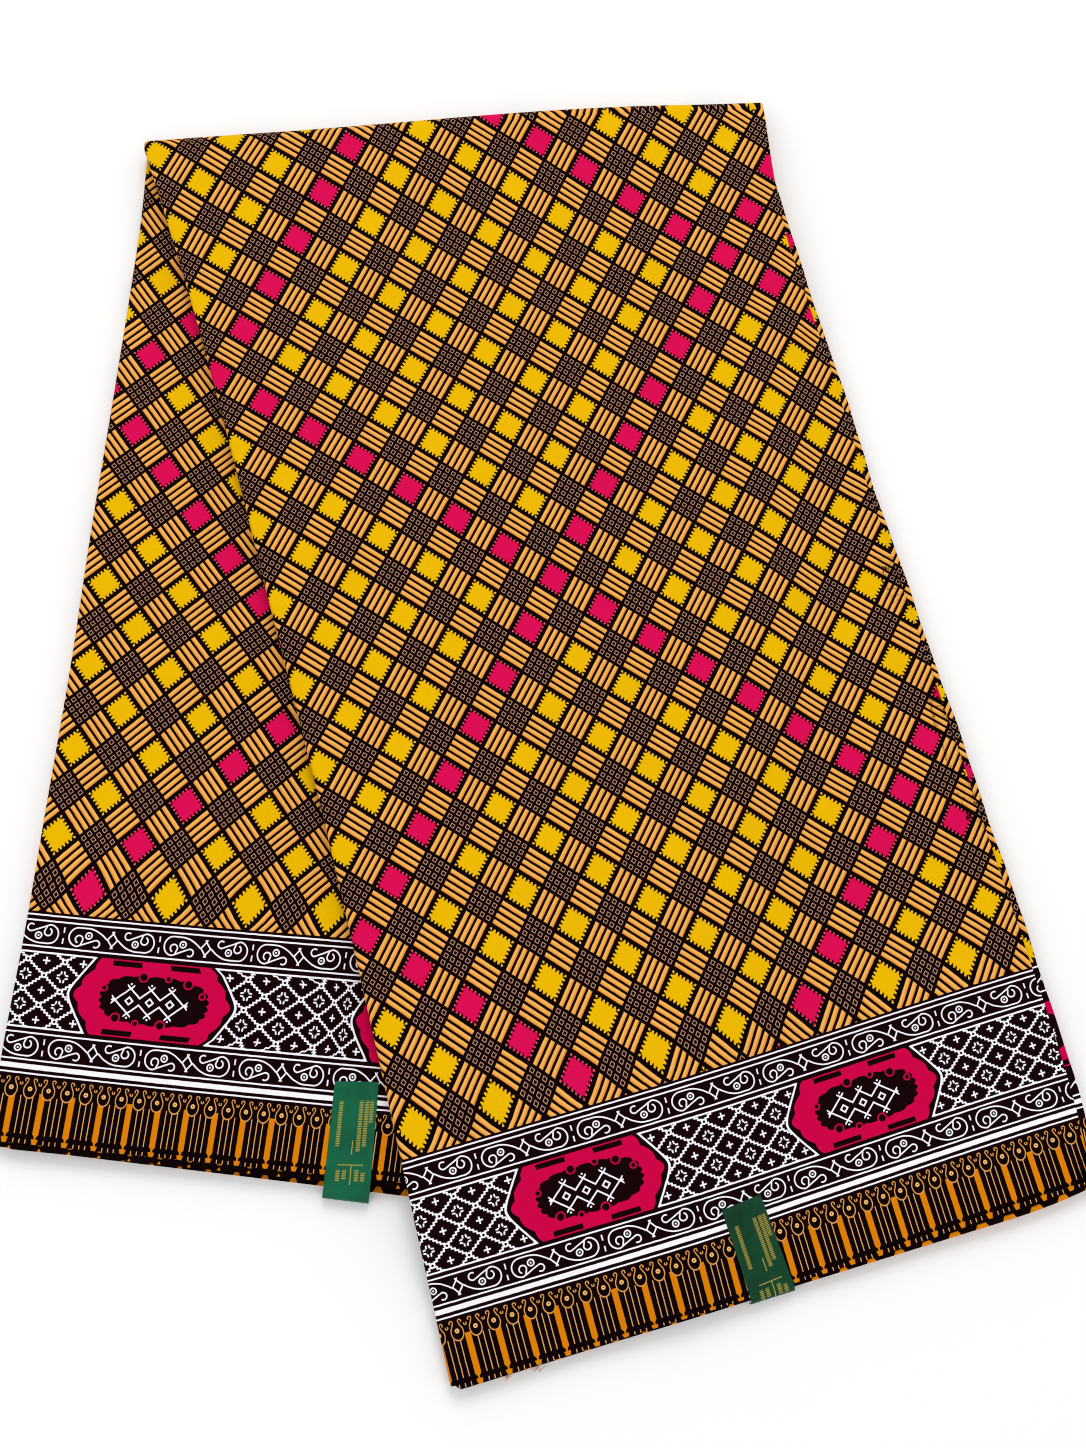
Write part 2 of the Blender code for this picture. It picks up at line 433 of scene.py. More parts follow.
@dataclass(frozen=True)
class Checks(Motif):
    """The field: a slanting check of plain, barred and dotted cells.

    Two slanting axes count half cells. Where both are even the cell is plain with pinked edges, where both
    are odd it holds small hollow squares, and between them it has four bars.
    """

    across: float = 39.32  # millimetres from one plain cell to the next in its row
    along: float = 43.16
    strip: int = 14  # half cells from one pink row to the next
    soft: float = 0.012  # of an edge, in half cells as the sizes below are, from a cell's middle
    body: float = 0.352
    teeth: float = 0.45
    tooth: float = 0.1385  # from one tooth to the next
    tooth_width: float = 0.036
    tooth_middle: float = 0.41
    taper: float = 0.35
    tinted: float = 0.425  # where the dye of a plain cell runs into the next
    tint: float = 0.35
    bar: float = 0.225  # from one bar to the next
    bar_width: float = 0.305
    bar_end: float = 0.462
    bars_end: float = 0.455
    square: float = 0.235  # from one hollow square to the next
    ring: float = 0.26
    ring_line: float = 0.046
    squares_end: float = 0.468
    bar_soft: float = 0.06  # of the edges of bars, rings, teeth, tint and the bars' ends
    ring_soft: float = 0.05
    tooth_soft: float = 0.014
    tint_soft: float = 0.03
    end_soft: float = 0.01
    two_tone: Pair = (4.0, -1.1)  # how fast a bar turns from one amber to the other, and where

    def colour(self, ink: Drawing, x: Term, y: Term, dyes: Dyes) -> Socket:
        """Bars and hollow squares, with the plain cells over them: see Motif.colour."""
        up = y * (2 / self.along)
        rising = x.scaled(2 / self.across, up)
        falling = x.scaled(-2 / self.across, up)
        rising_cell, falling_cell = rising.nearest(), falling.nearest()
        s, t = rising - rising_cell, falling - falling_cell
        rising_odd, falling_odd = rising_cell.fold(2), falling_cell.fold(2)

        stack = (s - t).scaled(rising_odd, t)
        along = (s + t) - stack
        place = stack.scaled(1 / self.bar, 2.0).apply("FRACT")
        inside = along.size().inked(self.bar_end, self.soft)
        held = stack.size().inked(self.bars_end, self.end_soft).least(inside)
        bars = (place - 0.5).size().inked(self.bar_width, self.bar_soft).least(held)
        barred = (rising_odd - falling_odd).size()
        two_tone = ink.mix(dyes.amber, dyes.light_amber, place.eased(*self.two_tone))
        colour = ink.mix(dyes.pitch, two_tone, bars * barred)

        row = [(part.scaled(1 / self.square, 2.0).apply("FRACT") - 0.5).size() for part in (s, t)]
        rings = (row[0].most(row[1]) - self.ring).size().inked(self.ring_line, self.ring_soft)
        far, near = s.size().most(t.size()), s.size().least(t.size())
        held = far.below(self.squares_end) * (rising_odd * falling_odd)
        colour = ink.mix(colour, dyes.sand, rings * held)

        tooth = near.fold(self.tooth).scaled(1.0, far * self.taper)
        tooth = tooth.inked(self.tooth_width + self.taper * self.tooth_middle, self.tooth_soft)
        toothed = tooth.least(far.inked(self.teeth, self.soft))
        plain = far.inked(self.body, self.soft).most(toothed) * rising_odd.most(falling_odd).below(0.5)
        pink_row = rising_cell.fold(self.strip).least(falling_cell.fold(self.strip)).below(0.5)
        dyed = ink.mix(dyes.yellow, dyes.pink, pink_row)
        tint = far.inked(self.tinted, self.tint_soft).scaled(-self.tint, self.tint)
        dyed = ink.mix(dyed, dyes.tip, tint)
        return ink.mix(colour, dyed, plain)


@dataclass(frozen=True)
class Border:
    """Where the border's stretches lie: millimetres up from the print's own edge."""

    thick_rule: float = 39.3
    thin_rules: Pair = (36.2, 42.4)
    low_scrolls: float = 48.55
    high_scrolls: float = 101.35
    scroll_rules: float = 6.15  # from the middle of a band of scrolls
    trellis: float = 74.9
    trellis_rules: float = 17.6
    top_rule: float = 110.1
    joins: tuple[float, ...] = (111.7, 93.9, 55.95, 34.5)
    repeat: float = 140.0


BORDER = Border()


@dataclass(frozen=True)
class Scrolls(Motif):
    """A band of paired scrolls, each pair turned about a small diamond, with dashes between the pairs.

    A pair is the same turned half round, so its right side is drawn as its left one: p runs out from the
    middle, and q changes sign with the side. Strokes and arcs are given in p and q.
    """

    pitch: float = BORDER.repeat / 3
    line: float = 0.345
    rule: float = 0.38
    thick: float = 1.16
    loop: float = 4.45  # the radius of a scroll's round end
    loop_from: float = 16.3
    sag_from: float = 12.5  # from here the line sags towards the diamond
    sag_run: float = 9.7
    sag_slope: float = 0.27
    sweep_end: float = -0.3  # the line stops under this height, short of its loop
    strokes: tuple[Stroke, ...] = (((16.3, -4.4), (8.9, -1.2)), ((14.1, -1.3), (15.0, -3.9)))
    arcs: tuple[Arc, ...] = (((15.8, -0.95), 1.75, 65.0, 125.0), ((7.6, -2.5), 1.7, 180.0, 118.0))
    bead: Pair = (11.5, 1.0)
    bead_rings: Pair = (1.45, 0.1)
    diamond: float = 3.1
    diamond_slope: float = 1.3
    point: Stroke = ((0.0, 3.0), (0.4, 3.8))
    dash: Pair = (2.6, 0.95)  # its middle, and half its length

    def colour(self, ink: Drawing, x: Term, y: Term, dyes: Dyes) -> Socket:
        """Either band of scrolls, with the rules round it: see Motif.colour."""
        high = y.above(BORDER.trellis)
        level = y - high.scaled(BORDER.high_scrolls - BORDER.low_scrolls, BORDER.low_scrolls)
        side = (x - self.pitch / 2).within(self.pitch)
        p, lift = side.size(), level.size()
        q = level * side.apply("SIGN") * -1.0

        far = (p - self.loop_from).most(0.0)
        near = (p - self.sag_from).least(0.0) * (1 / self.sag_run)
        sag = near * near
        sweep = (far.reach(sag.scaled(self.loop, q)) - self.loop).size() * sag.scaled(-self.sag_slope, 1.0)
        sweep = sweep + q.below(self.sweep_end) * p.below(self.loop_from) * FAR
        lines = [ink.stroke(p, q, *ends) for ends in self.strokes]
        lines += [ink.arc(p, q, *arc) for arc in self.arcs]
        lines += [ink.ring(p, q, self.bead, radius) for radius in self.bead_rings]
        diamond = (p.scaled(self.diamond_slope, lift) - self.diamond).size()
        lines.append(diamond * cos(atan(self.diamond_slope)))
        lines.append(ink.stroke(p, lift, *self.point))
        lines.append((p - self.pitch / 2).size().most((lift - self.dash[0]).size() - self.dash[1]))
        drawn = sweep.least(*lines).inked(self.line)

        rules = (lift - BORDER.scroll_rules).size().least((y - BORDER.top_rule).size())
        rules = rules.least(*((y - rule).size() for rule in BORDER.thin_rules))
        thick = (y - BORDER.thick_rule).size().inked(self.thick)
        return ink.mix(dyes.night, dyes.white, drawn.most(rules.inked(self.rule), thick))


@dataclass(frozen=True)
class Medallion:
    """A lobed pink cartouche with a dark middle and a plain chain of three diamonds."""

    reach: float = 37.7
    frame: float = 41.8
    lean: float = 0.68  # how much narrower it is for each millimetre up
    lobe: float = 8.2
    lobe_depth: float = 1.5
    half_up: float = 17.9
    frame_line: float = 0.46
    roundness: float = 9.0  # of its two tips, square millimetres
    dark: Pair = (25.6, 11.2)  # half the dark middle's width and height
    dark_powers: Pair = (3.0, 2.6)
    dark_shift: float = 1.0  # across from the cartouche's middle
    dark_edge: float = 0.90
    dark_soft: float = 0.03
    dark_lobes: float = 11.0
    dark_lobe_depth: float = 0.15
    large_curls: tuple[Pair, ...] = ((-5.6, 10.7), (16.0, 9.2))
    larger: float = 0.7
    small_curls: Pair = (6.2, 10.9)
    end_curls: Pair = (23.3, 4.2)
    curl_reach: Pair = (1.05, 1.75)
    dash: Pair = (14.0, 7.1)  # its middle, and half its length
    dash_up: Pair = (16.0, 1.25)
    link: float = 9.7
    squares_past: float = 3.0  # how far past a link the small squares run on
    peak: float = 5.8
    slope: float = 0.87
    links_end: float = 16.4
    fork: float = 1.5
    square: float = 1.75
    dot: float = 7.9
    dot_ring: float = 0.1
    line: float = 0.37
    chain_at: Pair = (-1.0, -0.8)

    def chain(self, ink: Drawing, x: Term, y: Term) -> Term:
        """How far a point is from the chain: a zigzag above and its mirror below, crossed at each tip.

        Args:
            ink: the material.
            x: millimetres across from the chain's middle.
            y: millimetres up from it.

        Returns:
            The distance.
        """
        true = cos(atan(self.slope))
        high = y.size()
        end = (x.size() - self.link).most(0.0)
        wave = x.fold(self.link).most(end)
        over = high - self.peak
        zigzag = (wave.scaled(self.slope, over).size() * true).most(x.size() - self.links_end)
        own = (x - (x * (1 / self.link)).nearest().least(1.0).most(-1.0) * self.link).size()
        forks = (over - own * self.slope).size().scaled(true, (own - self.fork).most(over * -1.0, 0.0))
        past = x.size() - self.peak / self.slope - self.link
        prongs = (high - past).size().least(high).scaled(true, (past - self.fork).most(past * -1.0, 0.0))
        squares = (x.fold(self.link) + high - self.square).size() * cos(pi / 4)
        squares = squares + x.size().above(self.link + self.squares_past) * FAR
        dots = ink.ring(own, high, (0.0, self.dot), self.dot_ring)
        return zigzag.least(forks, prongs, squares, dots)

    def middle(self, x: Term, y: Term) -> Term:
        """The dark middle: a long rounded shape with a ring of small lobes, and curls at its edge.

        Args:
            x: millimetres across from the cartouche's middle.
            y: millimetres up from it.

        Returns:
            1 or 0.
        """
        across, up = (part * (1 / half) for part, half in zip((x - self.dark_shift, y), self.dark))
        lobes = (up.apply("ARCTAN2", across) * self.dark_lobes).apply("SINE").size() * self.dark_lobe_depth
        powers = [part.size().apply("POWER", power) for part, power in zip((across, up), self.dark_powers)]
        dark = powers[0] + powers[1] - lobes
        p, high = x * y.apply("SIGN"), y.size()
        large = [(p - out).reach(high - rise) - self.larger for out, rise in self.large_curls]
        small = (p - self.small_curls[0]).reach(high - self.small_curls[1])
        ends = (x.size() - self.end_curls[0]).reach(y - self.end_curls[1])
        curls = small.least(*large, ends)
        inner, outer = self.curl_reach
        dark = dark.inked(self.dark_edge, self.dark_soft)
        return dark.least(curls.inked(outer).spared()).most(curls.inked(inner))

    def colour(self, ink: Drawing, x: Term, y: Term, under: Socket, dyes: Dyes) -> Socket:
        """The cartouche laid over the trellis.

        Its sides lean in straight lines, with round lobes and sharp notches between them. The white frame
        round it leans too, and is rounded at its tips.

        Args:
            ink: the material.
            x: millimetres across from its middle.
            y: millimetres up from its middle.
            under: the trellis's colour.
            dyes: the colours.

        Returns:
            The colour's socket.
        """
        high = y.size()
        lean = y.scaled(y, self.roundness).apply("SQRT") * self.lean + x.size()
        frame = (lean - self.frame) * cos(atan(self.lean))
        colour = ink.mix(under, dyes.night, frame.inked(0.0))
        framed = frame.size().inked(self.frame_line).least(high.inked(self.half_up))
        colour = ink.mix(colour, dyes.white, framed)
        lobes = (y * (pi / self.lobe)).apply("COSINE").size()
        pink = (lean - self.reach - lobes * self.lobe_depth).inked(0.0).least(high.inked(self.half_up))
        # the cartouche is filled with the darker pink, which is painted shade
        colour = ink.mix(colour, dyes.shaded_pink, pink)
        dashes = ((x.size() - self.dash[0]).size() - self.dash[1]).most(
            (high - self.dash_up[0]).size() - self.dash_up[1]).inked(0.0)
        colour = ink.mix(colour, dyes.night, self.middle(x, y).most(dashes))
        chain = self.chain(ink, x - self.chain_at[0], y - self.chain_at[1])
        return ink.mix(colour, dyes.white, chain.inked(self.line).least(pink))


@dataclass(frozen=True)
class Trellis(Motif):
    """The border's widest band: stepped white diamonds with crosses and flowers in turn, and medallions.

    Two slanting axes number the diamonds. Those whose numbers add up to an even one hold a cross, the
    others a flower of short strokes. The lines between them run in small steps, and cross in rings.
    """

    half_across: float = BORDER.repeat / 16
    half_up: float = 7.0
    side: float = 8.1  # from one line to the next, square to its steps
    line: float = 0.38
    rule: float = 0.42
    steps: int = 6  # in each side of a diamond
    step: float = 0.9
    knot: float = 1.0
    arms: Pair = (1.3, 1.35)
    petals: tuple[Stroke, ...] = (((0.85, 1.5), (0.7, 2.4)), ((1.5, 0.8), (2.4, 0.65)))
    medallion: Medallion = field(default_factory=Medallion)

    def colour(self, ink: Drawing, x: Term, y: Term, dyes: Dyes) -> Socket:
        """The diamonds, with the medallions over them: see Motif.colour."""
        level = y - BORDER.trellis
        up = level * (0.5 / self.half_up)
        rising = x.scaled(0.5 / self.half_across, up)
        falling = x.scaled(0.5 / self.half_across, up * -1.0)
        rising_cell, falling_cell = rising.nearest(), falling.nearest()
        from_rising, from_falling = (rising + 0.5).within(1.0), (falling + 0.5).within(1.0)
        stairs = [part.fold(1 / self.steps).scaled(self.step, -self.step / 4 / self.steps)
                  for part in (falling, rising)]
        lines = (from_rising + stairs[0]).size().least((from_falling - stairs[1]).size()) * self.side
        knot_x = (from_rising + from_falling) * self.half_across
        knot = knot_x.reach((from_rising - from_falling) * self.half_up) - self.knot
        lines = lines.most(knot * -1.0).least(knot.size())

        local_x = (x - (rising_cell + falling_cell) * self.half_across).size()
        local_y = (level - (rising_cell - falling_cell) * self.half_up).size()
        flower = (rising_cell + falling_cell).fold(2).above(0.5)
        arms = local_x.most(local_y - self.arms[1]).least(local_y.most(local_x - self.arms[0]))
        arms = arms + flower * FAR
        petals = [ink.stroke(local_x, local_y, *ends) for ends in self.petals]
        petals = petals[0].least(*petals[1:]) + flower.scaled(-FAR, FAR)
        drawn = lines.least(arms, petals).inked(self.line).least(level.size().inked(self.medallion.half_up))
        edge = (level.size() - BORDER.trellis_rules).size().inked(self.rule)
        colour = ink.mix(dyes.night, dyes.white, drawn.most(edge))
        return self.medallion.colour(ink, x.within(BORDER.repeat), level, colour, dyes)


@dataclass(frozen=True)
class Fringe(Motif):
    """The print's last band: a printed fringe of vase-shaped heads, thin lines and broad bars.

    A head is a round bulb that runs down to a point, with a narrower throat above it that parts into two
    curls. A small open bud stands between it and the next. A bar narrows to a neck near its foot, with a
    knob and a flare under it. Heights in a head are from its dot.
    """

    bar: float = BORDER.repeat / 10  # from one bar to the next
    bar_top: float = 27.4
    bar_half: float = 1.42
    bar_soft: float = 0.2
    neck: float = 7.6
    neck_half: float = 0.40
    neck_long: float = 1.4
    widens: float = 0.8  # for each millimetre above the neck, as a share of the way to its full width
    knob: float = 5.2
    knob_half: float = 1.3
    knob_lean: Pair = (-0.25, 0.05)  # its sides: how much nearer for each millimetre up, and at the foot
    flare: float = 1.7
    flare_lean: float = 0.6
    clear: float = 2.0  # from a bar's middle line to where the threads start
    thread: float = 0.21
    thread_ends: Pair = (8.8, 25.8)
    threads_a_bar: int = 5
    tack: Pair = (5.3, 0.7)  # its middle, and half its length
    head: float = BORDER.repeat / 16  # from one head to the next
    head_line: float = 0.23
    dot: float = 29.2
    dot_ring: Pair = (0.68, 0.36)
    bulb: float = 2.85
    bulb_low: float = 0.6
    bulb_slope: float = 0.77
    throat: Stroke = ((2.2, 1.6), (1.35, 3.5))
    curl: Arc = ((2.0, 4.1), 0.75, 75.0, 115.0)
    bud: Arc = ((BORDER.repeat / 32, 2.4), 0.6, 270.0, 120.0)
    opening: Pair = (1.6, 3.0)  # half the room round a dot that bars and threads leave free, across and up
    offset: Place = (1.0, 2.4, 3.25)  # of bars, threads and heads, from the medallion's middle

    def bars(self, reach: Term, y: Term) -> Term:
        """The broad bars, which narrow to a neck near the foot.

        Args:
            reach: millimetres from the nearest bar's middle line.
            y: millimetres up from the print's edge.

        Returns:
            1 in a bar, its knob or its flare.
        """
        above = y.eased(self.widens, -self.widens * self.neck)
        widening = above.scaled(self.bar_half - self.neck_half, self.neck_half)
        column = (reach - widening).most(y - self.bar_top, y.scaled(-1.0, self.neck - self.neck_long))
        lean, foot = self.knob_lean
        knob = y.scaled(lean, reach + foot).most((y - self.knob).size() - self.knob_half)
        flare = y.scaled(self.flare_lean, reach - self.flare)
        return column.least(knob, flare).inked(0.0, self.bar_soft)

    def threads(self, x: Term, y: Term) -> Term:
        """How far a point is from the thin lines between the bars, and the tacks under them.

        Args:
            x: millimetres across, from the middle of a medallion.
            y: millimetres up from the print's edge.

        Returns:
            The distance.
        """
        line = (x + self.offset[1]).fold(self.bar / self.threads_a_bar)
        low, high = self.thread_ends
        long = line.most(y - high, y.scaled(-1.0, low))
        return long.least(line.most((y - self.tack[0]).size() - self.tack[1]))

    def colour(self, ink: Drawing, x: Term, y: Term, dyes: Dyes) -> Socket:
        """Bars, then threads, and the heads over them: see Motif.colour."""
        side = (x - self.offset[2]).within(self.head).size()
        lift = y - self.dot
        bulb = side.reach((lift + self.bulb_low) * self.bulb_slope) - self.bulb
        outline = bulb.size() + lift.above(self.throat[0][1]) * FAR
        throat = ink.stroke(side, lift, *self.throat)
        curls = [ink.arc(side, lift, *arc) for arc in (self.curl, self.bud)]
        open_head = bulb.least((side - self.opening[0]).most(lift.size() - self.opening[1]))
        reach = (x + self.offset[0]).within(self.bar).size()
        solid = self.bars(reach, y).least(open_head.inked(0.0).spared())
        colour = ink.mix(dyes.pitch, dyes.deep_amber, solid)
        threads = self.threads(x, y) + reach.below(self.clear) * FAR + open_head.below(0.0) * FAR
        colour = ink.mix(colour, dyes.straw, threads.inked(self.thread))
        colour = ink.mix(colour, dyes.gold, outline.least(throat, *curls).inked(self.head_line))
        radius, width = self.dot_ring
        return ink.mix(colour, dyes.tip, (side.reach(lift) - radius).size().inked(width))


@dataclass(frozen=True)
class PrintedCotton:
    """Crisp plain-weave cotton, printed through, with a slight calender gloss."""

    dyes: Dyes = field(default_factory=Dyes)
    thread: float = 0.42  # millimetres from one thread to the next
    roughness: float = 0.8
    specular: float = 0.025
    wobble: float = 0.10
    clouds: float = 26.0  # in a metre
    flecks: float = 1700.0
    cloud_depth: float = 0.10
    fleck_depth: float = 0.12
    darkest: float = 0.89
    weave: Pair = (0.35, 0.00008)  # the strength and the height, in metres, of the relief

    def material(self, band: Band) -> bpy.types.Material:
        """The material of one stretch of the print."""
        ink = Drawing(f"wax_print_{band.name.lower()}")
        motif = (Checks, Scrolls, Trellis, Fringe)[band.value]()
        colour = motif.colour(ink, *ink.flat_place(self.wobble), self.dyes)
        warp, weft = ((part * (2 * pi / self.thread)).apply("SINE") for part in ink.flat_place())
        ink.relief(warp * weft, *self.weave)
        return ink.finished(self.worn(ink, colour), self.roughness, self.specular)

    def worn(self, ink: Drawing, colour: Socket) -> Socket:
        """The colour with the dye's own unevenness: broad clouds and a fine fleck of lighter threads.

        Args:
            ink: the material.
            colour: the print's own colour.

        Returns:
            The colour's socket.
        """
        where = ink.node("ShaderNodeUVMap", uv_map=PRINT_MAP).outputs["UV"]
        cloud = Term(ink.tree, ink.noise(where, scale=self.clouds, detail=2.0).outputs[0])
        fleck = Term(ink.tree, ink.noise(where, scale=self.flecks, detail=0.0).outputs[0])
        shade = ink.node("ShaderNodeHueSaturation")
        value = fleck.scaled(self.fleck_depth, cloud.scaled(self.cloud_depth, self.darkest))
        ink.link(value, shade.inputs["Value"])
        ink.link(colour, shade.inputs["Color"])
        return shade.outputs["Color"]

    def slots(self) -> list[bpy.types.Material]:
        """The cloth's materials, in the order of its slots."""
        return [self.material(band) for band in Band]


@dataclass(frozen=True)
class LabelPaper:
    """Coated green paper with a few plain gold rules, in millimetres from the label's top left corner."""

    green: Colour = dye(0, 98, 64)
    shade: Colour = dye(0, 74, 46)
    gold: Colour = dye(176, 156, 56)
    rules: tuple[Stroke, ...] = (
        ((5.5, 38.5), (16.5, 38.5)), ((11.4, 38.5), (11.4, 47.5)), ((11.0, 27.5), (11.0, 33.5)))
    ladders: tuple[tuple[float, float, float], ...] = (  # across, first and last rung
        (4.2, 9.5, 30.0), (13.6, 9.0, 32.0), (16.2, 9.0, 30.0), (18.4, 9.0, 19.0),
        (5.6, 41.0, 46.0), (8.4, 41.0, 45.0), (14.0, 41.0, 46.0), (16.8, 42.0, 46.0))
    rung: float = 0.8  # from one rung to the next
    rung_half: float = 0.7
    line: float = 0.19
    roughness: float = 0.42
    specular: float = 0.16

    def material(self) -> bpy.types.Material:
        """The paper's material: mottled green, with gold strokes drawn over it."""
        ink = Drawing("label_paper")
        across, down = ink.flat_place()
        strokes = [ink.stroke(across, down, *rule) for rule in self.rules]
        for place, first, last in self.ladders:
            rungs = down.fold(self.rung).most((across - place).size() - self.rung_half)
            strokes.append(rungs.most((down - (first + last) / 2).size() - (last - first) / 2))
        where = ink.node("ShaderNodeTexCoord").outputs["Object"]
        cloudy = Term(ink.tree, ink.noise(where, scale=90.0, detail=3.0).outputs[0])
        paper = ink.mix(self.shade, self.green, cloudy.eased(2.2, -0.5))
        ink.relief(cloudy, strength=0.25, distance=0.0003)
        printed = ink.mix(paper, self.gold, strokes[0].least(*strokes[1:]).inked(self.line))
        return ink.finished(printed, self.roughness, self.specular)


@dataclass(frozen=True)
class LooseCotton:
    """Thread from the frayed selvedge, dyed unevenly along its length."""

    pale: Colour = dye(250, 226, 216)
    strong: Colour = dye(236, 170, 150)
    roughness: float = 0.85
    specular: float = 0.5

    def material(self) -> bpy.types.Material:
        """The thread's material."""
        ink = Drawing("loose_cotton")
        where = ink.node("ShaderNodeTexCoord").outputs["Object"]
        share = Term(ink.tree, ink.noise(where, scale=260.0, detail=1.0).outputs[0]).eased(3.0, -1.0)
        return ink.finished(ink.mix(self.pale, self.strong, share), self.roughness, self.specular)


@dataclass(frozen=True)
class Pull:
    """A place where the cloth is drawn a little along its own plane, and the print with it."""

    place: Pair
    reach: float
    move: Pair

    def shift(self, x: np.ndarray, y: np.ndarray) -> np.ndarray:
        """How far the print is moved at points: a bell curve of the distance from its place."""
        near = np.exp(-((x - self.place[0]) ** 2 + (y - self.place[1]) ** 2) / self.reach ** 2)
        return near[..., None] * np.array(self.move)


@dataclass(frozen=True)
class Crease:
    """A soft ridge, or a trough if its height is less than nothing, between two points of a half."""

    start: Pair
    end: Pair
    width: float
    height: float

    def rise(self, x: np.ndarray, y: np.ndarray) -> np.ndarray:
        """Its height at points: a bell curve of the distance from its line.

        Args:
            x: metres across the half.
            y: metres down it.

        Returns:
            The height, in metres.
        """
        run, fall = self.end[0] - self.start[0], self.end[1] - self.start[1]
        along = ((x - self.start[0]) * run + (y - self.start[1]) * fall) / (run * run + fall * fall)
        along = np.clip(along, 0.0, 1.0)
        away = np.hypot(x - self.start[0] - along * run, y - self.start[1] - along * fall)
        return self.height * np.exp(-((away / self.width) ** 2))


FRONT_CREASES = (
    Crease((0.020, 0.075), (0.300, 0.135), 0.016, 0.00050),
    Crease((0.060, 0.012), (0.210, 0.052), 0.011, -0.00040),
    Crease((0.248, 0.180), (0.262, 0.430), 0.020, 0.00045),
    Crease((0.092, 0.300), (0.070, 0.560), 0.018, -0.00040),
    Crease((0.150, 0.405), (0.292, 0.360), 0.014, -0.00035),
    Crease((0.020, 0.470), (0.120, 0.512), 0.012, 0.00040),
    Crease((0.180, 0.590), (0.290, 0.560), 0.010, 0.00035),
    Crease((0.300, 0.120), (0.318, 0.300), 0.006, 0.00045),
    Crease((0.296, 0.470), (0.309, 0.610), 0.007, 0.00040),
)
BACK_CREASES = (
    Crease((0.018, 0.120), (0.110, 0.190), 0.014, 0.00045),
    Crease((0.030, 0.260), (0.046, 0.430), 0.016, -0.00035),
    Crease((0.060, 0.380), (0.180, 0.350), 0.012, 0.00035),
    Crease((0.200, 0.330), (0.310, 0.380), 0.013, -0.00035),
    Crease((0.240, 0.120), (0.280, 0.300), 0.016, 0.00040),
)


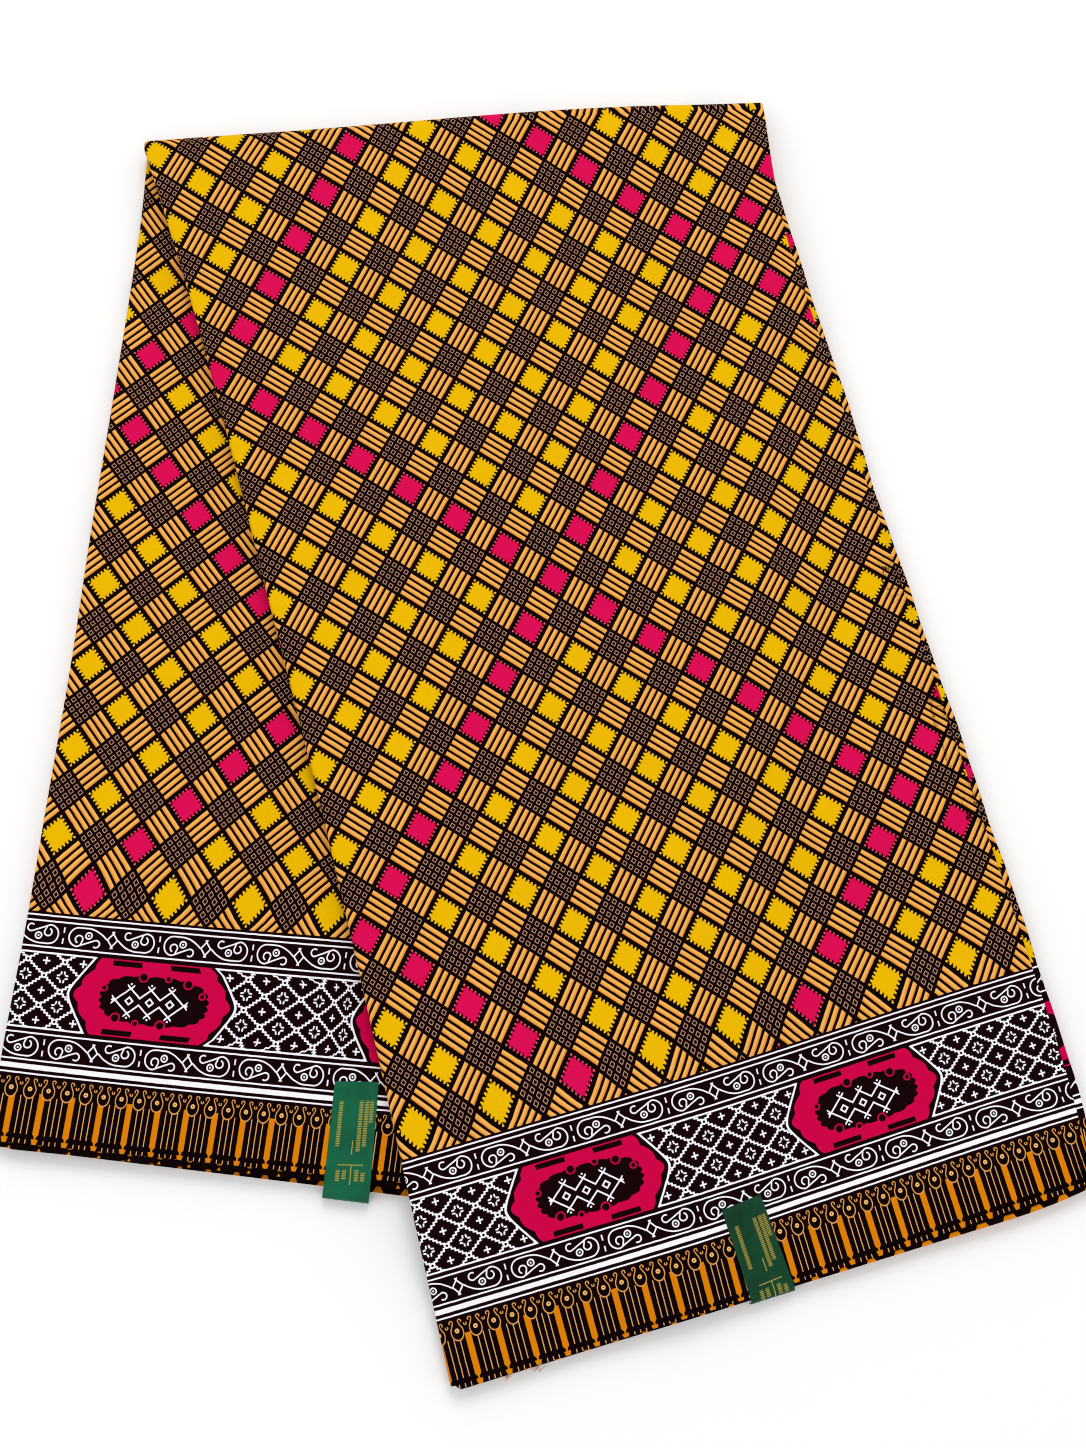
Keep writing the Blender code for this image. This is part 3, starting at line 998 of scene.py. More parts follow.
@dataclass(frozen=True)
class Half:
    """One half of the folded strip, in its own flat axes from the fold's left end."""

    turn: float  # of its length from -Y towards +X
    length: float
    foot_left: float  # across, where the left edge meets the selvedge
    foot_right: float
    bow_left: tuple[float, ...]  # how far the edge bows to the right, at each of the shares below
    bow_right: tuple[float, ...]
    crossing: Pair  # a crossing of two pink rows of the print
    shrink: float  # of the field's print, along the strip
    pulls: tuple[Pull, ...]
    medallion: float  # the middle of a medallion, across
    rule: float  # how far down the border's thick rule starts, at the left edge
    rise: float  # how much nearer the fold it ends, at the right edge
    rise_from: float
    crowd: float  # how much nearer the border's next medallion lies than on the flat cloth
    stretch: float  # of the border above that rule, at the left edge
    stretch_more: float
    creases: tuple[Crease, ...]
    crowd_trellis: Pair = (0.080, 0.018)  # where it is felt, from a medallion's middle, and over how far
    crowd_scrolls: Pair = (-0.023, 0.120)
    drawn: float = 0.0042  # how far the field is drawn down towards the border, which fades above it
    drawn_over: float = 0.014
    shares: tuple[float, ...] = (0.0, 0.06, 0.14, 0.26, 0.40, 0.55, 0.68, 0.80, 0.90, 1.0)

    @property
    def axes(self) -> np.ndarray:
        """Its own directions in the frame, as rows: across and down."""
        return np.array([[cos(self.turn), sin(self.turn)], [sin(self.turn), -cos(self.turn)]])

    def bow(self, share: np.ndarray, values: tuple[float, ...]) -> np.ndarray:
        """A smooth curve through a row of bows: cubic pieces with the row's own slopes.

        Args:
            share: of the edge's length.
            values: the bows, at each of the half's shares.

        Returns:
            The bow, in metres.
        """
        at, value = np.array(self.shares), np.array(values)
        slope = np.gradient(value, at)
        share = np.clip(share, 0.0, 1.0)
        i = np.clip(np.searchsorted(at, share, side="right") - 1, 0, len(at) - 2)
        step = at[i + 1] - at[i]
        t = (share - at[i]) / step
        start = (1 + 2 * t) * (1 - t) ** 2 * value[i] + t * (1 - t) ** 2 * step * slope[i]
        return start + t * t * (3 - 2 * t) * value[i + 1] + t * t * (t - 1) * step * slope[i + 1]

    def in_field(self, x: np.ndarray, y: np.ndarray) -> np.ndarray:
        """Where a place lies on the field's print, from a crossing of two pink rows, across and up.

        Args:
            x: metres across on the flat cloth.
            y: metres down.

        Returns:
            The place on the print.
        """
        move = sum(pull.shift(x, y) for pull in self.pulls)
        above = (y - self.down_at(BORDER.top_rule * MM, 0.5)) / self.drawn_over
        down = move[..., 1] + self.drawn * np.exp(-above ** 2)
        up = (self.crossing[1] - y + down) * self.shrink
        return np.stack([x - self.crossing[0] - move[..., 0], up], axis=-1)

    def left_edge(self, down: np.ndarray) -> np.ndarray:
        """Metres across to the left edge: straight from the fold to the foot, with the bow added."""
        share = down / self.length
        return share * self.foot_left + self.bow(share, self.bow_left)

    def right_edge(self, down: np.ndarray, fold: Pair) -> np.ndarray:
        """Metres across to the right edge, which starts at the fold's right end."""
        share = (down - fold[1]) / (self.length - fold[1])
        return lerp(fold[0], self.foot_right, share) + self.bow(share, self.bow_right)

    def thick_rule(self, part: np.ndarray) -> np.ndarray:
        """How far down the border's thick rule lies: it eases up towards the right."""
        return self.rule - self.rise * smooth((part - self.rise_from) / (1 - self.rise_from))

    def down_at(self, height: float, part: np.ndarray) -> np.ndarray:
        """How far down a height of the border's print lies, in metres: stretched above the thick rule."""
        over = height - BORDER.thick_rule * MM
        return self.thick_rule(part) - over * self.stretched(over > 0, part)

    def stretched(self, above: np.ndarray, part: np.ndarray) -> np.ndarray:
        """How much the border is stretched: only above the thick rule, and more towards the right."""
        return np.where(above, self.stretch + self.stretch_more * part, 1.0)

    def on_border(self, x: np.ndarray, y: np.ndarray, part: np.ndarray, shift: Pair) -> np.ndarray:
        """Where a place lies on the border's print, across from a medallion's middle and up from its edge.

        The height is down_at the other way round. The next medallion is brought nearer: the scrolls are
        squeezed evenly on the way there, and the trellis just before it.

        Args:
            x: metres across on the flat cloth.
            y: metres down.
            part: of the strip's width.
            shift: how far the print lies from this half's own, across and up.

        Returns:
            The place on the print.
        """
        over = self.thick_rule(part) - y
        height = over / self.stretched(over > 0, part) + BORDER.thick_rule * MM + shift[1]
        across = x - self.medallion + shift[0]
        ranges = (self.crowd_trellis, self.crowd_scrolls)
        trellis, scrolls = ((across - start) / run for start, run in ranges)
        middle = np.abs(height - BORDER.trellis * MM) < BORDER.trellis_rules * MM
        nearer = np.where(middle, smooth(trellis), scrolls.clip(0))
        return np.stack([across + self.crowd * nearer, height], axis=-1)

    def creased(self, x: np.ndarray, y: np.ndarray) -> np.ndarray:
        """How far the creases raise the cloth."""
        return sum(crease.rise(x, y) for crease in self.creases)


FRONT = Half(
    turn=radians(9.7), length=0.641, foot_left=-0.0084, foot_right=0.3142,
    bow_left=(-0.0010, 0.0015, 0.0040, 0.0055, 0.0057, 0.0062, 0.0051, 0.0035, 0.0018, 0.0),
    bow_right=(0.0, -0.0048, -0.0056, -0.0022, -0.0018, 0.0008, 0.0025, 0.0037, 0.0042, 0.0010),
    crossing=(0.1441, 0.2830), shrink=1.0125,
    pulls=(Pull((0.300, 0.480), 0.085, (0.0045, 0.0015)), Pull((0.100, 0.525), 0.055, (0.0010, 0.0038)),
           Pull((0.120, 0.030), 0.07, (0.0, -0.0015)), Pull((0.250, 0.240), 0.10, (-0.0015, 0.0012)),
           Pull((0.010, 0.530), 0.06, (-0.0004, 0.0064)), Pull((0.215, 0.530), 0.065, (0.0006, 0.0020)),
           Pull((0.230, 0.420), 0.11, (-0.0016, -0.0005)), Pull((0.150, 0.330), 0.05, (0.0, 0.0010)),
           Pull((0.030, 0.210), 0.08, (0.0, -0.0015)), Pull((0.020, 0.035), 0.05, (-0.0026, -0.0006)),
           Pull((0.290, 0.030), 0.06, (0.0012, -0.0012)), Pull((0.240, 0.100), 0.05, (-0.0008, 0.0)),
           Pull((0.090, 0.120), 0.07, (-0.0004, 0.0012))),
    medallion=0.0763, rule=0.6090, rise=0.0043, rise_from=0.35, crowd=0.0,
    stretch=0.977, stretch_more=0.0, creases=FRONT_CREASES,
)
BACK = Half(
    turn=radians(-13.05), length=0.514, foot_left=0.0134, foot_right=0.3354,
    bow_left=(-0.0010, 0.0007, 0.0011, 0.0011, 0.0007, 0.0013, 0.0005, -0.0001, -0.0015, -0.0022),
    bow_right=(0.0, -0.0006, -0.0010, -0.0012, -0.0010, -0.0004, 0.0004, 0.0008, 0.0005, 0.0),
    crossing=(0.1365, 0.2791), shrink=1.02,
    pulls=(Pull((0.160, 0.410), 0.06, (-0.0028, -0.0012)), Pull((0.040, 0.430), 0.07, (-0.0006, 0.0044)),
           Pull((0.020, 0.110), 0.06, (0.0018, 0.0012)), Pull((0.100, 0.270), 0.05, (0.0, -0.0022))),
    medallion=0.0766, rule=0.4761, rise=0.0052, rise_from=0.0, crowd=0.0055,
    stretch=1.006, stretch_more=0.09, creases=BACK_CREASES,
)


@dataclass
class Surface:
    """A grid of points with where each lies on the print, in metres, for the field and for the border."""

    points: np.ndarray
    field_map: np.ndarray
    border_map: np.ndarray

    @staticmethod
    def joined(parts: "Iterable[Surface]") -> "Surface":
        """Surfaces one after the other, along their rows."""
        parts = list(parts)
        return Surface(*(np.concatenate([getattr(part, name) for part in parts])
                         for name in ("points", "field_map", "border_map")))


class Section(ABC):
    """A cloth's cross-section: a line of columns from its first edge to its last."""

    part: np.ndarray  # of the strip's width, from the left, for each column
    short: tuple[Pair, Pair] = ((0.0, 0.0), (0.0, 0.0))  # of each half's length, at its left and right
    border_shift: tuple[Pair, Pair] = ((0.0, 0.0), (0.0, 0.0))  # of each half's border, across and up

    @abstractmethod
    def lines(self, skin: float, turned: np.ndarray, along: np.ndarray) -> tuple[np.ndarray, np.ndarray]:
        """Where each column lies in each row.

        Args:
            skin: 1 for the cloth's first face, -1 for its second, and 0 between them.
            turned: for each row, 0 on the front half, 1 on the back half, and between them on the fold.
            along: for each row, metres along the strip from the front selvedge.

        Returns:
            Metres across from the column's part of the width, and metres out from the middle plane.
        """

    def unrolled(self, x: np.ndarray, level: np.ndarray) -> np.ndarray:
        """Metres across on the flat cloth, from metres across on the folded one."""
        return x


@dataclass
class Strip:
    """The folded strip as a form: two halves, and the fold that joins them."""

    half_thick: float = 0.008245
    gap: float = 0.0003
    fold_left: float = -0.0010
    fold_length: float = 0.3327
    fold_reach: float = 0.0072
    fold_bow: tuple[float, ...] = (  # how far its line bows out, at each of the shares of a half
        0.0023, 0.0024, 0.0025, 0.0026, 0.0033, 0.0042, 0.0043, 0.0034, 0.0018, 0.0005)
    fold_fade: float = 0.040  # how far from the fold's line its bow is felt
    left_corner: Pair = (0.0024, 0.016)  # how much shorter a foot is there, and over what part of its width
    right_corner: Pair = (0.0040, 0.15)
    drop_start: float = 0.010
    drop_run: float = 0.050
    shelter: float = 0.012  # how far from the front half the back half's creases start

    def __post_init__(self) -> None:
        """Reads the fold's left end from the frame."""
        self.origin = np.array(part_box("fold_outer_sheet")[0])[:2]
        self.girth = pi / 2 * (self.half_thick + self.fold_reach)

    def fold_right(self, half: Half) -> Pair:
        """The fold's right end, in a half's own axes."""
        return self.fold_length * cos(half.turn), self.fold_length * sin(half.turn)

    def rows(self, half: Half, step: float, section: Section) -> tuple[np.ndarray, list[Band]]:
        """Rows of cloth from the fold's line to the selvedge, which follow the border's bands.

        Args:
            half: the half.
            step: about how far apart the rows are.
            section: the cloth's cross-section.

        Returns:
            Metres down at each row, for both edges and each column, and the band from each row to the next.
        """
        both = np.concatenate([[0.0, 1.0], section.part])
        stops = [both * self.fold_right(half)[1]]
        stops += [half.down_at(join * MM, both) for join in BORDER.joins]
        corners = ((self.left_corner, both), (self.right_corner, 1 - both))
        corner = sum(cut * (1 - away / over).clip(0) ** 2 for (cut, over), away in corners)
        stops.append(half.length - lerp(*section.short[half is BACK], both) - corner)
        kinds = (Band.FIELD, Band.SCROLLS, Band.TRELLIS, Band.SCROLLS, Band.FRINGE)
        rows, bands = [stops[0][None]], []
        for start, end, kind in zip(stops, stops[1:], kinds):
            count = max(2, int(np.ceil((end - start)[:2].max() / step)))
            rows.append(lerp(start[None], end[None], np.linspace(0, 1, count + 1)[1:, None]))
            bands += [kind] * count
        return np.concatenate(rows), bands

    def middle(self, flat: np.ndarray) -> np.ndarray:
        """Height of the front half's middle plane.

        It is half the stack over the back half. The distance past that half's right edge and selvedge is
        eased over a run, like a step in cloth.

        Args:
            flat: points on the ground, from the fold's left end.

        Returns:
            The height at each.
        """
        across, down = BACK.axes
        top = np.array([self.fold_length, 0.0])
        foot = across * BACK.foot_right + down * BACK.length
        edge = (foot - top) / np.linalg.norm(foot - top)
        past_right = (flat - top) @ np.array([-edge[1], edge[0]])
        past_foot = flat @ down - BACK.length
        past = np.hypot(np.maximum(past_right, 0.0), np.maximum(past_foot, 0.0))
        drop = self.half_thick + self.gap / 2
        return self.half_thick - drop * smooth((past - self.drop_start) / self.drop_run)

    def lay(self, half: Half, x: np.ndarray, y: np.ndarray, level: np.ndarray) -> np.ndarray:
        """Points in the frame, from a half's own axes.

        Creases fade with the square of the level, down through the front half or up through the back one,
        and the back half has none where the front half lies on it.

        Args:
            half: the half.
            x: metres across it.
            y: metres down it.
            level: metres out from the middle plane.

        Returns:
            The points.
        """
        flat = np.stack([x, y], axis=-1) @ half.axes
        near = np.exp(-((flat[..., 1] / self.fold_fade) ** 2))
        flat[..., 1] += near * FRONT.bow(flat[..., 0] / self.fold_length, self.fold_bow)
        share = level / self.half_thick
        if half is FRONT:
            height = self.middle(flat) + level + share ** 2 * half.creased(x, y)
        else:
            own = flat @ FRONT.axes.T
            clear = smooth((FRONT.left_edge(own[..., 1]) - own[..., 0]) / self.shelter)
            height = self.half_thick - level + (1 - share) ** 2 * clear * half.creased(x, y)
        return np.concatenate([flat + self.origin, height[..., None]], axis=-1)

    def leg(self, half: Half, section: Section, skin: float, step: float, runs_on: bool) -> Surface:
        """A cloth's face on one half, from the fold's line to the selvedge.

        Args:
            half: the half.
            section: the cloth's cross-section.
            skin: which face, as Section.lines says.
            step: about how far apart the rows are.
            runs_on: whether the print runs on from the front half, round the fold.

        Returns:
            The surface.
        """
        down, _ = self.rows(half, step, section)
        left, right, down = down[:, :1], down[:, 1:2], down[:, 2:]
        along = FRONT.length - left if half is FRONT else FRONT.length + self.girth + left
        turned = np.full_like(left, float(half is BACK))
        offset, level = section.lines(skin, turned, along)
        offset, level = np.broadcast_to(offset, down.shape), np.broadcast_to(level, down.shape)
        left_x, right_x = half.left_edge(left), half.right_edge(right, self.fold_right(half))
        share = offset / np.hypot(right_x - left_x, right - left)
        x = lerp(left_x, right_x, section.part + share)
        y = down + (right - left) * share
        u = section.unrolled(x, level)
        past = np.array([sin(BACK.turn), cos(BACK.turn)]) * -self.girth
        field_map = FRONT.in_field(u + past[0], past[1] - y) if runs_on else half.in_field(u, y)
        border_map = half.on_border(u, y, section.part, section.border_shift[half is BACK])
        return Surface(self.lay(half, x, y, level), field_map, border_map)

    def bend(self, section: Section, skin: float, steps: int) -> Surface:
        """A cloth's face round the fold, between the two halves: half an ellipse at each column.

        Args:
            section: the cloth's cross-section.
            skin: which face, as Section.lines says.
            steps: the number of stretches round the fold.

        Returns:
            The surface.
        """
        angle = (pi * np.arange(1, steps) / steps)[:, None]
        turned = (1 - np.cos(angle)) / 2
        along = FRONT.length + self.girth * angle / pi
        offset, level = section.lines(skin, turned, along)
        shape = (len(angle), len(section.part))
        q = np.broadcast_to(lerp(self.fold_left, self.fold_length, section.part) + offset, shape)
        level = np.broadcast_to(level, shape)
        reach = level * (self.fold_reach / self.half_thick) * np.sin(angle)
        height = self.half_thick + level * np.cos(angle)
        reach = reach + FRONT.bow(q / self.fold_length, self.fold_bow)
        points = np.stack([q + self.origin[0], reach + self.origin[1], height], axis=-1)
        turn = lerp(FRONT.turn, -BACK.turn, angle / pi)
        arc = self.girth * angle / pi
        u = section.unrolled(q, level)
        x = u * np.cos(turn) + arc * np.sin(turn)
        y = u * np.sin(turn) - arc * np.cos(turn)
        field_map = FRONT.in_field(x, y)
        return Surface(points, field_map, np.zeros_like(field_map))

    def sweep(self, section: Section, skin: float, step: float, steps: int) -> Surface:
        """A cloth's face through the whole strip, from the front selvedge to the back one.

        Args:
            section: the cloth's cross-section.
            skin: which face, as Section.lines says.
            step: about how far apart the rows are.
            steps: the number of stretches round the fold.

        Returns:
            The surface.
        """
        front = self.leg(FRONT, section, skin, step, False)
        turned = Surface(front.points[::-1], front.field_map[::-1], front.border_map[::-1])
        back = self.leg(BACK, section, skin, step, True)
        return Surface.joined([turned, self.bend(section, skin, steps), back])

    def bands(self, section: Section, step: float, steps: int) -> list[Band]:
        """The bands between the rows of a sweep."""
        front, back = (self.rows(half, step, section)[1] for half in (FRONT, BACK))
        return front[::-1] + [Band.FIELD] * steps + back


def placed(name: str, data: bpy.types.ID) -> bpy.types.Object:
    """A new object in the scene, at the origin."""
    made = bpy.data.objects.new(name, data)
    bpy.context.scene.collection.objects.link(made)
    return made


def slab(name: str, face: Surface, back: Surface, bands: list[Band],
         finishes: list[bpy.types.Material]) -> bpy.types.Object:
    """A closed cloth from its two faces: quads over both grids, and a rim of quads that joins them.

    Args:
        name: the piece's name.
        face: the surface whose rows and columns turn left, seen from outside.
        back: the surface behind it, with the same grid.
        bands: the band between each row and the next.
        finishes: a material for each band, or one for all.

    Returns:
        The new object, with its print map.
    """
    rows, columns = face.points.shape[:2]
    index = np.arange(rows * columns).reshape(rows, columns)
    kinds = np.array([band.value for band in bands])
    quads = np.stack([index[:-1, :-1], index[:-1, 1:], index[1:, 1:], index[1:, :-1]], axis=-1)
    quads = quads.reshape(-1, 4)
    kind = np.repeat(kinds, columns - 1)
    ring = np.concatenate([index[0], index[1:, -1], index[-1, -2::-1], index[-2::-1, 0]])
    ring_kind = np.concatenate([np.full(columns - 1, kinds[0]), kinds,
                                np.full(columns - 1, kinds[-1]), kinds[::-1]])
    behind = rows * columns
    rim = np.stack([ring[1:], ring[:-1], ring[:-1] + behind, ring[1:] + behind], axis=-1)
    faces = np.concatenate([quads, quads[:, ::-1] + behind, rim])
    kind = np.concatenate([kind, kind, ring_kind])

    both = Surface.joined([face, back])
    mesh = bpy.data.meshes.new(name)
    mesh.from_pydata(both.points.reshape(-1, 3).tolist(), [], faces.tolist())
    loops = faces.ravel()
    in_field = np.repeat(kind == Band.FIELD.value, 4)[:, None]
    field_map, border_map = (part.reshape(-1, 2)[loops] for part in (both.field_map, both.border_map))
    flat = np.where(in_field, field_map, border_map)
    mesh.uv_layers.new(name=PRINT_MAP).data.foreach_set("uv", flat.astype(np.float32).ravel())
    for finish in finishes:
        mesh.materials.append(finish)
    mesh.polygons.foreach_set("material_index", np.minimum(kind, len(finishes) - 1).astype(np.int32))
    mesh.shade_smooth()
    mesh.set_sharp_from_angle(angle=radians(50))
    mesh.update()
    return placed(name, mesh)


class SheetSection(Section):
    """A single layer with a soft left edge that curls round towards the stack, and a cut right edge."""

    curl_steps = 6
    rags = ((0.0004, 310.0, 0.0), (0.0003, 727.0, 1.0))  # the cut edge's waves: height, turns and start
    slack = 0.0003  # how far the cut edge lies inside the strip at the fold
    settle = (0.02, 0.17)  # how far from the fold the rest of its inset starts, and over how far

    def __init__(self, spacing: float, width: float, curl: float, tuck: float, wall: float,
                 outer: float, insets: Pair, outwards: bool) -> None:
        """Lays out its columns.

        Args:
            spacing: about how far apart the columns are.
            width: of the strip.
            curl: the radius of the left edge's outer face.
            tuck: how far it turns under, past upright.
            wall: the cloth's thickness.
            outer: the level of the face that shows.
            insets: how far the left and right edges lie inside the strip.
            outwards: whether the face that shows is the one further from the middle plane.
        """
        turns = np.linspace(-tuck, pi / 2, self.curl_steps + 1)[:-1]
        flats = np.linspace(0.0, 1.0, int(width / spacing))[1:-1]
        self.turns = np.concatenate([turns, np.full(len(flats) + 2, pi / 2)])
        self.part = np.concatenate([np.zeros(len(turns) + 1), flats, [1.0]])
        self.curl, self.wall, self.outer, self.insets, self.outwards = curl, wall, outer, insets, outwards
        self.shift = (pi / 2 - self.turns) * curl - curl * np.cos(self.turns)

    def lines(self, skin: float, turned: np.ndarray, along: np.ndarray) -> tuple[np.ndarray, np.ndarray]:
        """A quarter circle at the left edge, then a flat run: see Section.lines.

        The face that shows has the curl's radius, and the other one has it less the wall.
        """
        radius = self.curl - self.wall * (1 - skin) / 2
        at_left = self.part == 0.0
        offset = np.where(at_left, self.insets[0] + self.curl - radius * np.cos(self.turns), 0.0)
        ragged = sum(height * np.sin(along * turns + start) for height, turns, start in self.rags)
        settled = smooth((np.abs(along - FRONT.length) - self.settle[0]) / self.settle[1])
        offset = offset - (self.part == 1.0) * (self.slack + (self.insets[1] + ragged) * settled)
        fall = self.curl - radius * np.sin(self.turns)
        return offset, np.broadcast_to(self.outer + (-fall if self.outwards else fall), offset.shape)

    def unrolled(self, x: np.ndarray, level: np.ndarray) -> np.ndarray:
        """The flat cloth goes on past the edge of the curl by the arc less the curl's own reach."""
        return x - self.shift


@dataclass
class OuterSheet:
    """The outermost layer: on top of the front half, round the fold, and under the back half."""

    strip: Strip
    finishes: list[bpy.types.Material]
    wall: float = 0.0005
    curl: float = 0.0021
    tuck: float = radians(12)
    inset: float = 0.0114
    step: float = 0.004
    fold_steps: int = 12
    short: tuple[Pair, Pair] = ((-0.0033, -0.0002), (0.0, 0.0))
    flat: Pair = (0.326, 1.172)

    def build(self) -> bpy.types.Object:
        """The piece, in place of the three stretches of the solid."""
        section = SheetSection(self.step, self.flat[0], self.curl, self.tuck, self.wall,
                               self.strip.half_thick, (0.0, self.inset), True)
        section.short = self.short
        faces = [self.strip.sweep(section, skin, self.step, self.fold_steps) for skin in (1.0, -1.0)]
        bands = self.strip.bands(section, self.step, self.fold_steps)
        piece = slab("outer_sheet", *faces, bands, self.finishes)
        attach(piece, BODY)
        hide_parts("front_half_outer_sheet", "fold_outer_sheet", "underside_outer_sheet")
        return piece


@dataclass
class InnerSheet:
    """The innermost layer, which shows as a wedge on the back half."""

    strip: Strip
    finishes: list[bpy.types.Material]
    wall: float = 0.00045
    curl: float = 0.0012
    tuck: float = radians(4)
    insets: Pair = (0.0004, 0.0060)
    step: float = 0.005
    short: tuple[Pair, Pair] = ((0.0, 0.0), (0.0024, 0.0086))
    flat: Pair = (0.320, 0.514)

    def build(self) -> bpy.types.Object:
        """The piece, in place of its solid. Its lower face comes first, because its rows run to -Y."""
        section = SheetSection(self.step, self.flat[0], self.curl, self.tuck, self.wall,
                               self.strip.gap / 2, self.insets, False)
        section.short = self.short
        faces = [self.strip.leg(BACK, section, skin, self.step, False) for skin in (-1.0, 1.0)]
        bands = self.strip.rows(BACK, self.step, section)[1]
        piece = slab("inner_sheet", *faces, bands, self.finishes)
        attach(piece, BODY)
        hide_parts("back_half_inner_sheet")
        return piece


class ZigzagSection(Section):
    """Many layers of one cloth, folded to and fro between the strip's edges."""

    arc_steps = 4
    strays = ((1.0, 62.0, 2.3), (0.6, 151.0, 4.1))  # a fold's waves: height, turns, and start for each fold

    def __init__(self, layers: int, columns: int, wall: float, levels: tuple[float, float, float],
                 right: tuple[float, ...], left: tuple[float, ...], ends: Pair, sway: float) -> None:
        """Lays out its columns: flat runs, and half circles between them.

        Args:
            layers: how many there are, from the lowest.
            columns: of each flat run.
            wall: the cloth's thickness.
            levels: the lowest level on the front half and on the back half, and the highest.
            right: how far each fold on the right lies inside the strip, from the lowest.
            left: the same on the left.
            ends: how far inside the strip the lowest and highest layers end, on the left.
            sway: how far a fold strays from its line.
        """
        self.wall, self.levels, self.layers, self.sway = wall, levels, layers, sway
        arc = np.linspace(-pi / 2, pi / 2, self.arc_steps + 1)[1:-1]
        insets = [(right, left)[layer % 2][layer // 2] for layer in range(layers - 1)]
        insets = [ends[0], *insets, ends[1]]
        runs = []
        for layer in range(layers):
            hand = 1.0 if layer % 2 == 0 else -1.0
            part = np.linspace(0.0, 1.0, columns)[::int(hand)]
            inside = np.zeros(columns)
            inside[0], inside[-1] = insets[layer], insets[layer + 1]
            fold = np.full(columns, float(layer))
            fold[0] -= 1
            runs.append(np.stack([part, inside, fold, fold * 0 + layer, fold * np.nan, fold * 0 + hand]))
            if layer < layers - 1:
                same = np.ones(len(arc))
                runs.append(np.stack([same * part[-1], same * insets[layer + 1], same * layer, same * layer,
                                      arc, same * hand]))
        self.part, self.inside, self.fold, self.layer, self.arc, self.hand = np.concatenate(runs, axis=1)

    def lines(self, skin: float, turned: np.ndarray, along: np.ndarray) -> tuple[np.ndarray, np.ndarray]:
        """Flat runs a pitch apart, joined by half circles of half a pitch: see Section.lines."""
        front, back, highest = self.levels
        lowest = lerp(front, back, turned)
        pitch = (highest - lowest) / self.layers
        half = self.hand * skin * self.wall / 2
        flat = np.isnan(self.arc)
        turn = np.where(flat, 0.0, self.arc)
        radius = pitch / 2 - half
        run_level = lowest + (self.layer + 0.5) * pitch + half
        fold_level = lowest + (self.layer + 1) * pitch + radius * np.sin(turn)
        out = np.where(flat, 0.0, radius * np.cos(turn))
        edge = np.where(self.part == 0.0, 1.0, np.where(self.part == 1.0, -1.0, 0.0))
        stray = sum(height * np.sin(along * turns + self.fold * start)
                    for height, turns, start in self.strays)
        inset = self.inside + pitch / 2 + self.wall / 2 + self.sway * stray
        return edge * (inset - out), np.where(flat, run_level, fold_level)

    def unrolled(self, x: np.ndarray, level: np.ndarray) -> np.ndarray:
        """The flat cloth's own length along the cross-section, from its last fold on the right."""
        steps = np.hypot(np.diff(x, axis=1), np.diff(level, axis=1))
        path = np.concatenate([np.zeros((len(x), 1)), np.cumsum(steps, axis=1)], axis=1)
        last = np.nonzero((self.layer == self.layer.max() - 1) & (self.part == 1.0))[0][-1]
        return path - path[:, last:last + 1]


@dataclass
class HiddenLayers:
    """The layers between the outer and inner sheets: one cloth folded to and fro, seen at its edges."""

    strip: Strip
    finishes: list[bpy.types.Material]
    layers: int = 14
    columns: int = 26
    wall: float = 0.0004
    under: float = 0.00055  # the outer sheet's room
    over: float = 0.00055  # the inner sheet's room
    right: tuple[float, ...] = (0.0022, 0.0008, 0.0030, 0.0012, 0.0024, 0.0007, 0.0004)
    left: tuple[float, ...] = (0.0009, 0.0015, 0.0006, 0.0018, 0.0010, 0.0013)
    ends: Pair = (0.0028, 0.0030)
    sway: float = 0.00035
    step: float = 0.012
    fold_steps: int = 10
    short: tuple[Pair, Pair] = ((-0.0033, -0.0030), (-0.0006, 0.0056))
    border_shift: tuple[Pair, Pair] = ((0.0547, -0.0037), (0.0, 0.0))
    width: float = 0.3226
    length: float = 1.17

    def build(self) -> bpy.types.Object:
        """The piece, in place of its solid."""
        low = self.strip.gap / 2
        levels = (low, low + self.over, self.strip.half_thick - self.under)
        section = ZigzagSection(self.layers, self.columns, self.wall, levels, self.right, self.left,
                                self.ends, self.sway)
        section.short, section.border_shift = self.short, self.border_shift
        faces = [self.strip.sweep(section, skin, self.step, self.fold_steps) for skin in (1.0, -1.0)]
        bands = self.strip.bands(section, self.step, self.fold_steps)
        piece = slab("hidden_layers_cloth", *faces, bands, self.finishes)
        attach(piece, BODY)
        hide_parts("hidden_layers")
        self.layers * self.width
        return piece


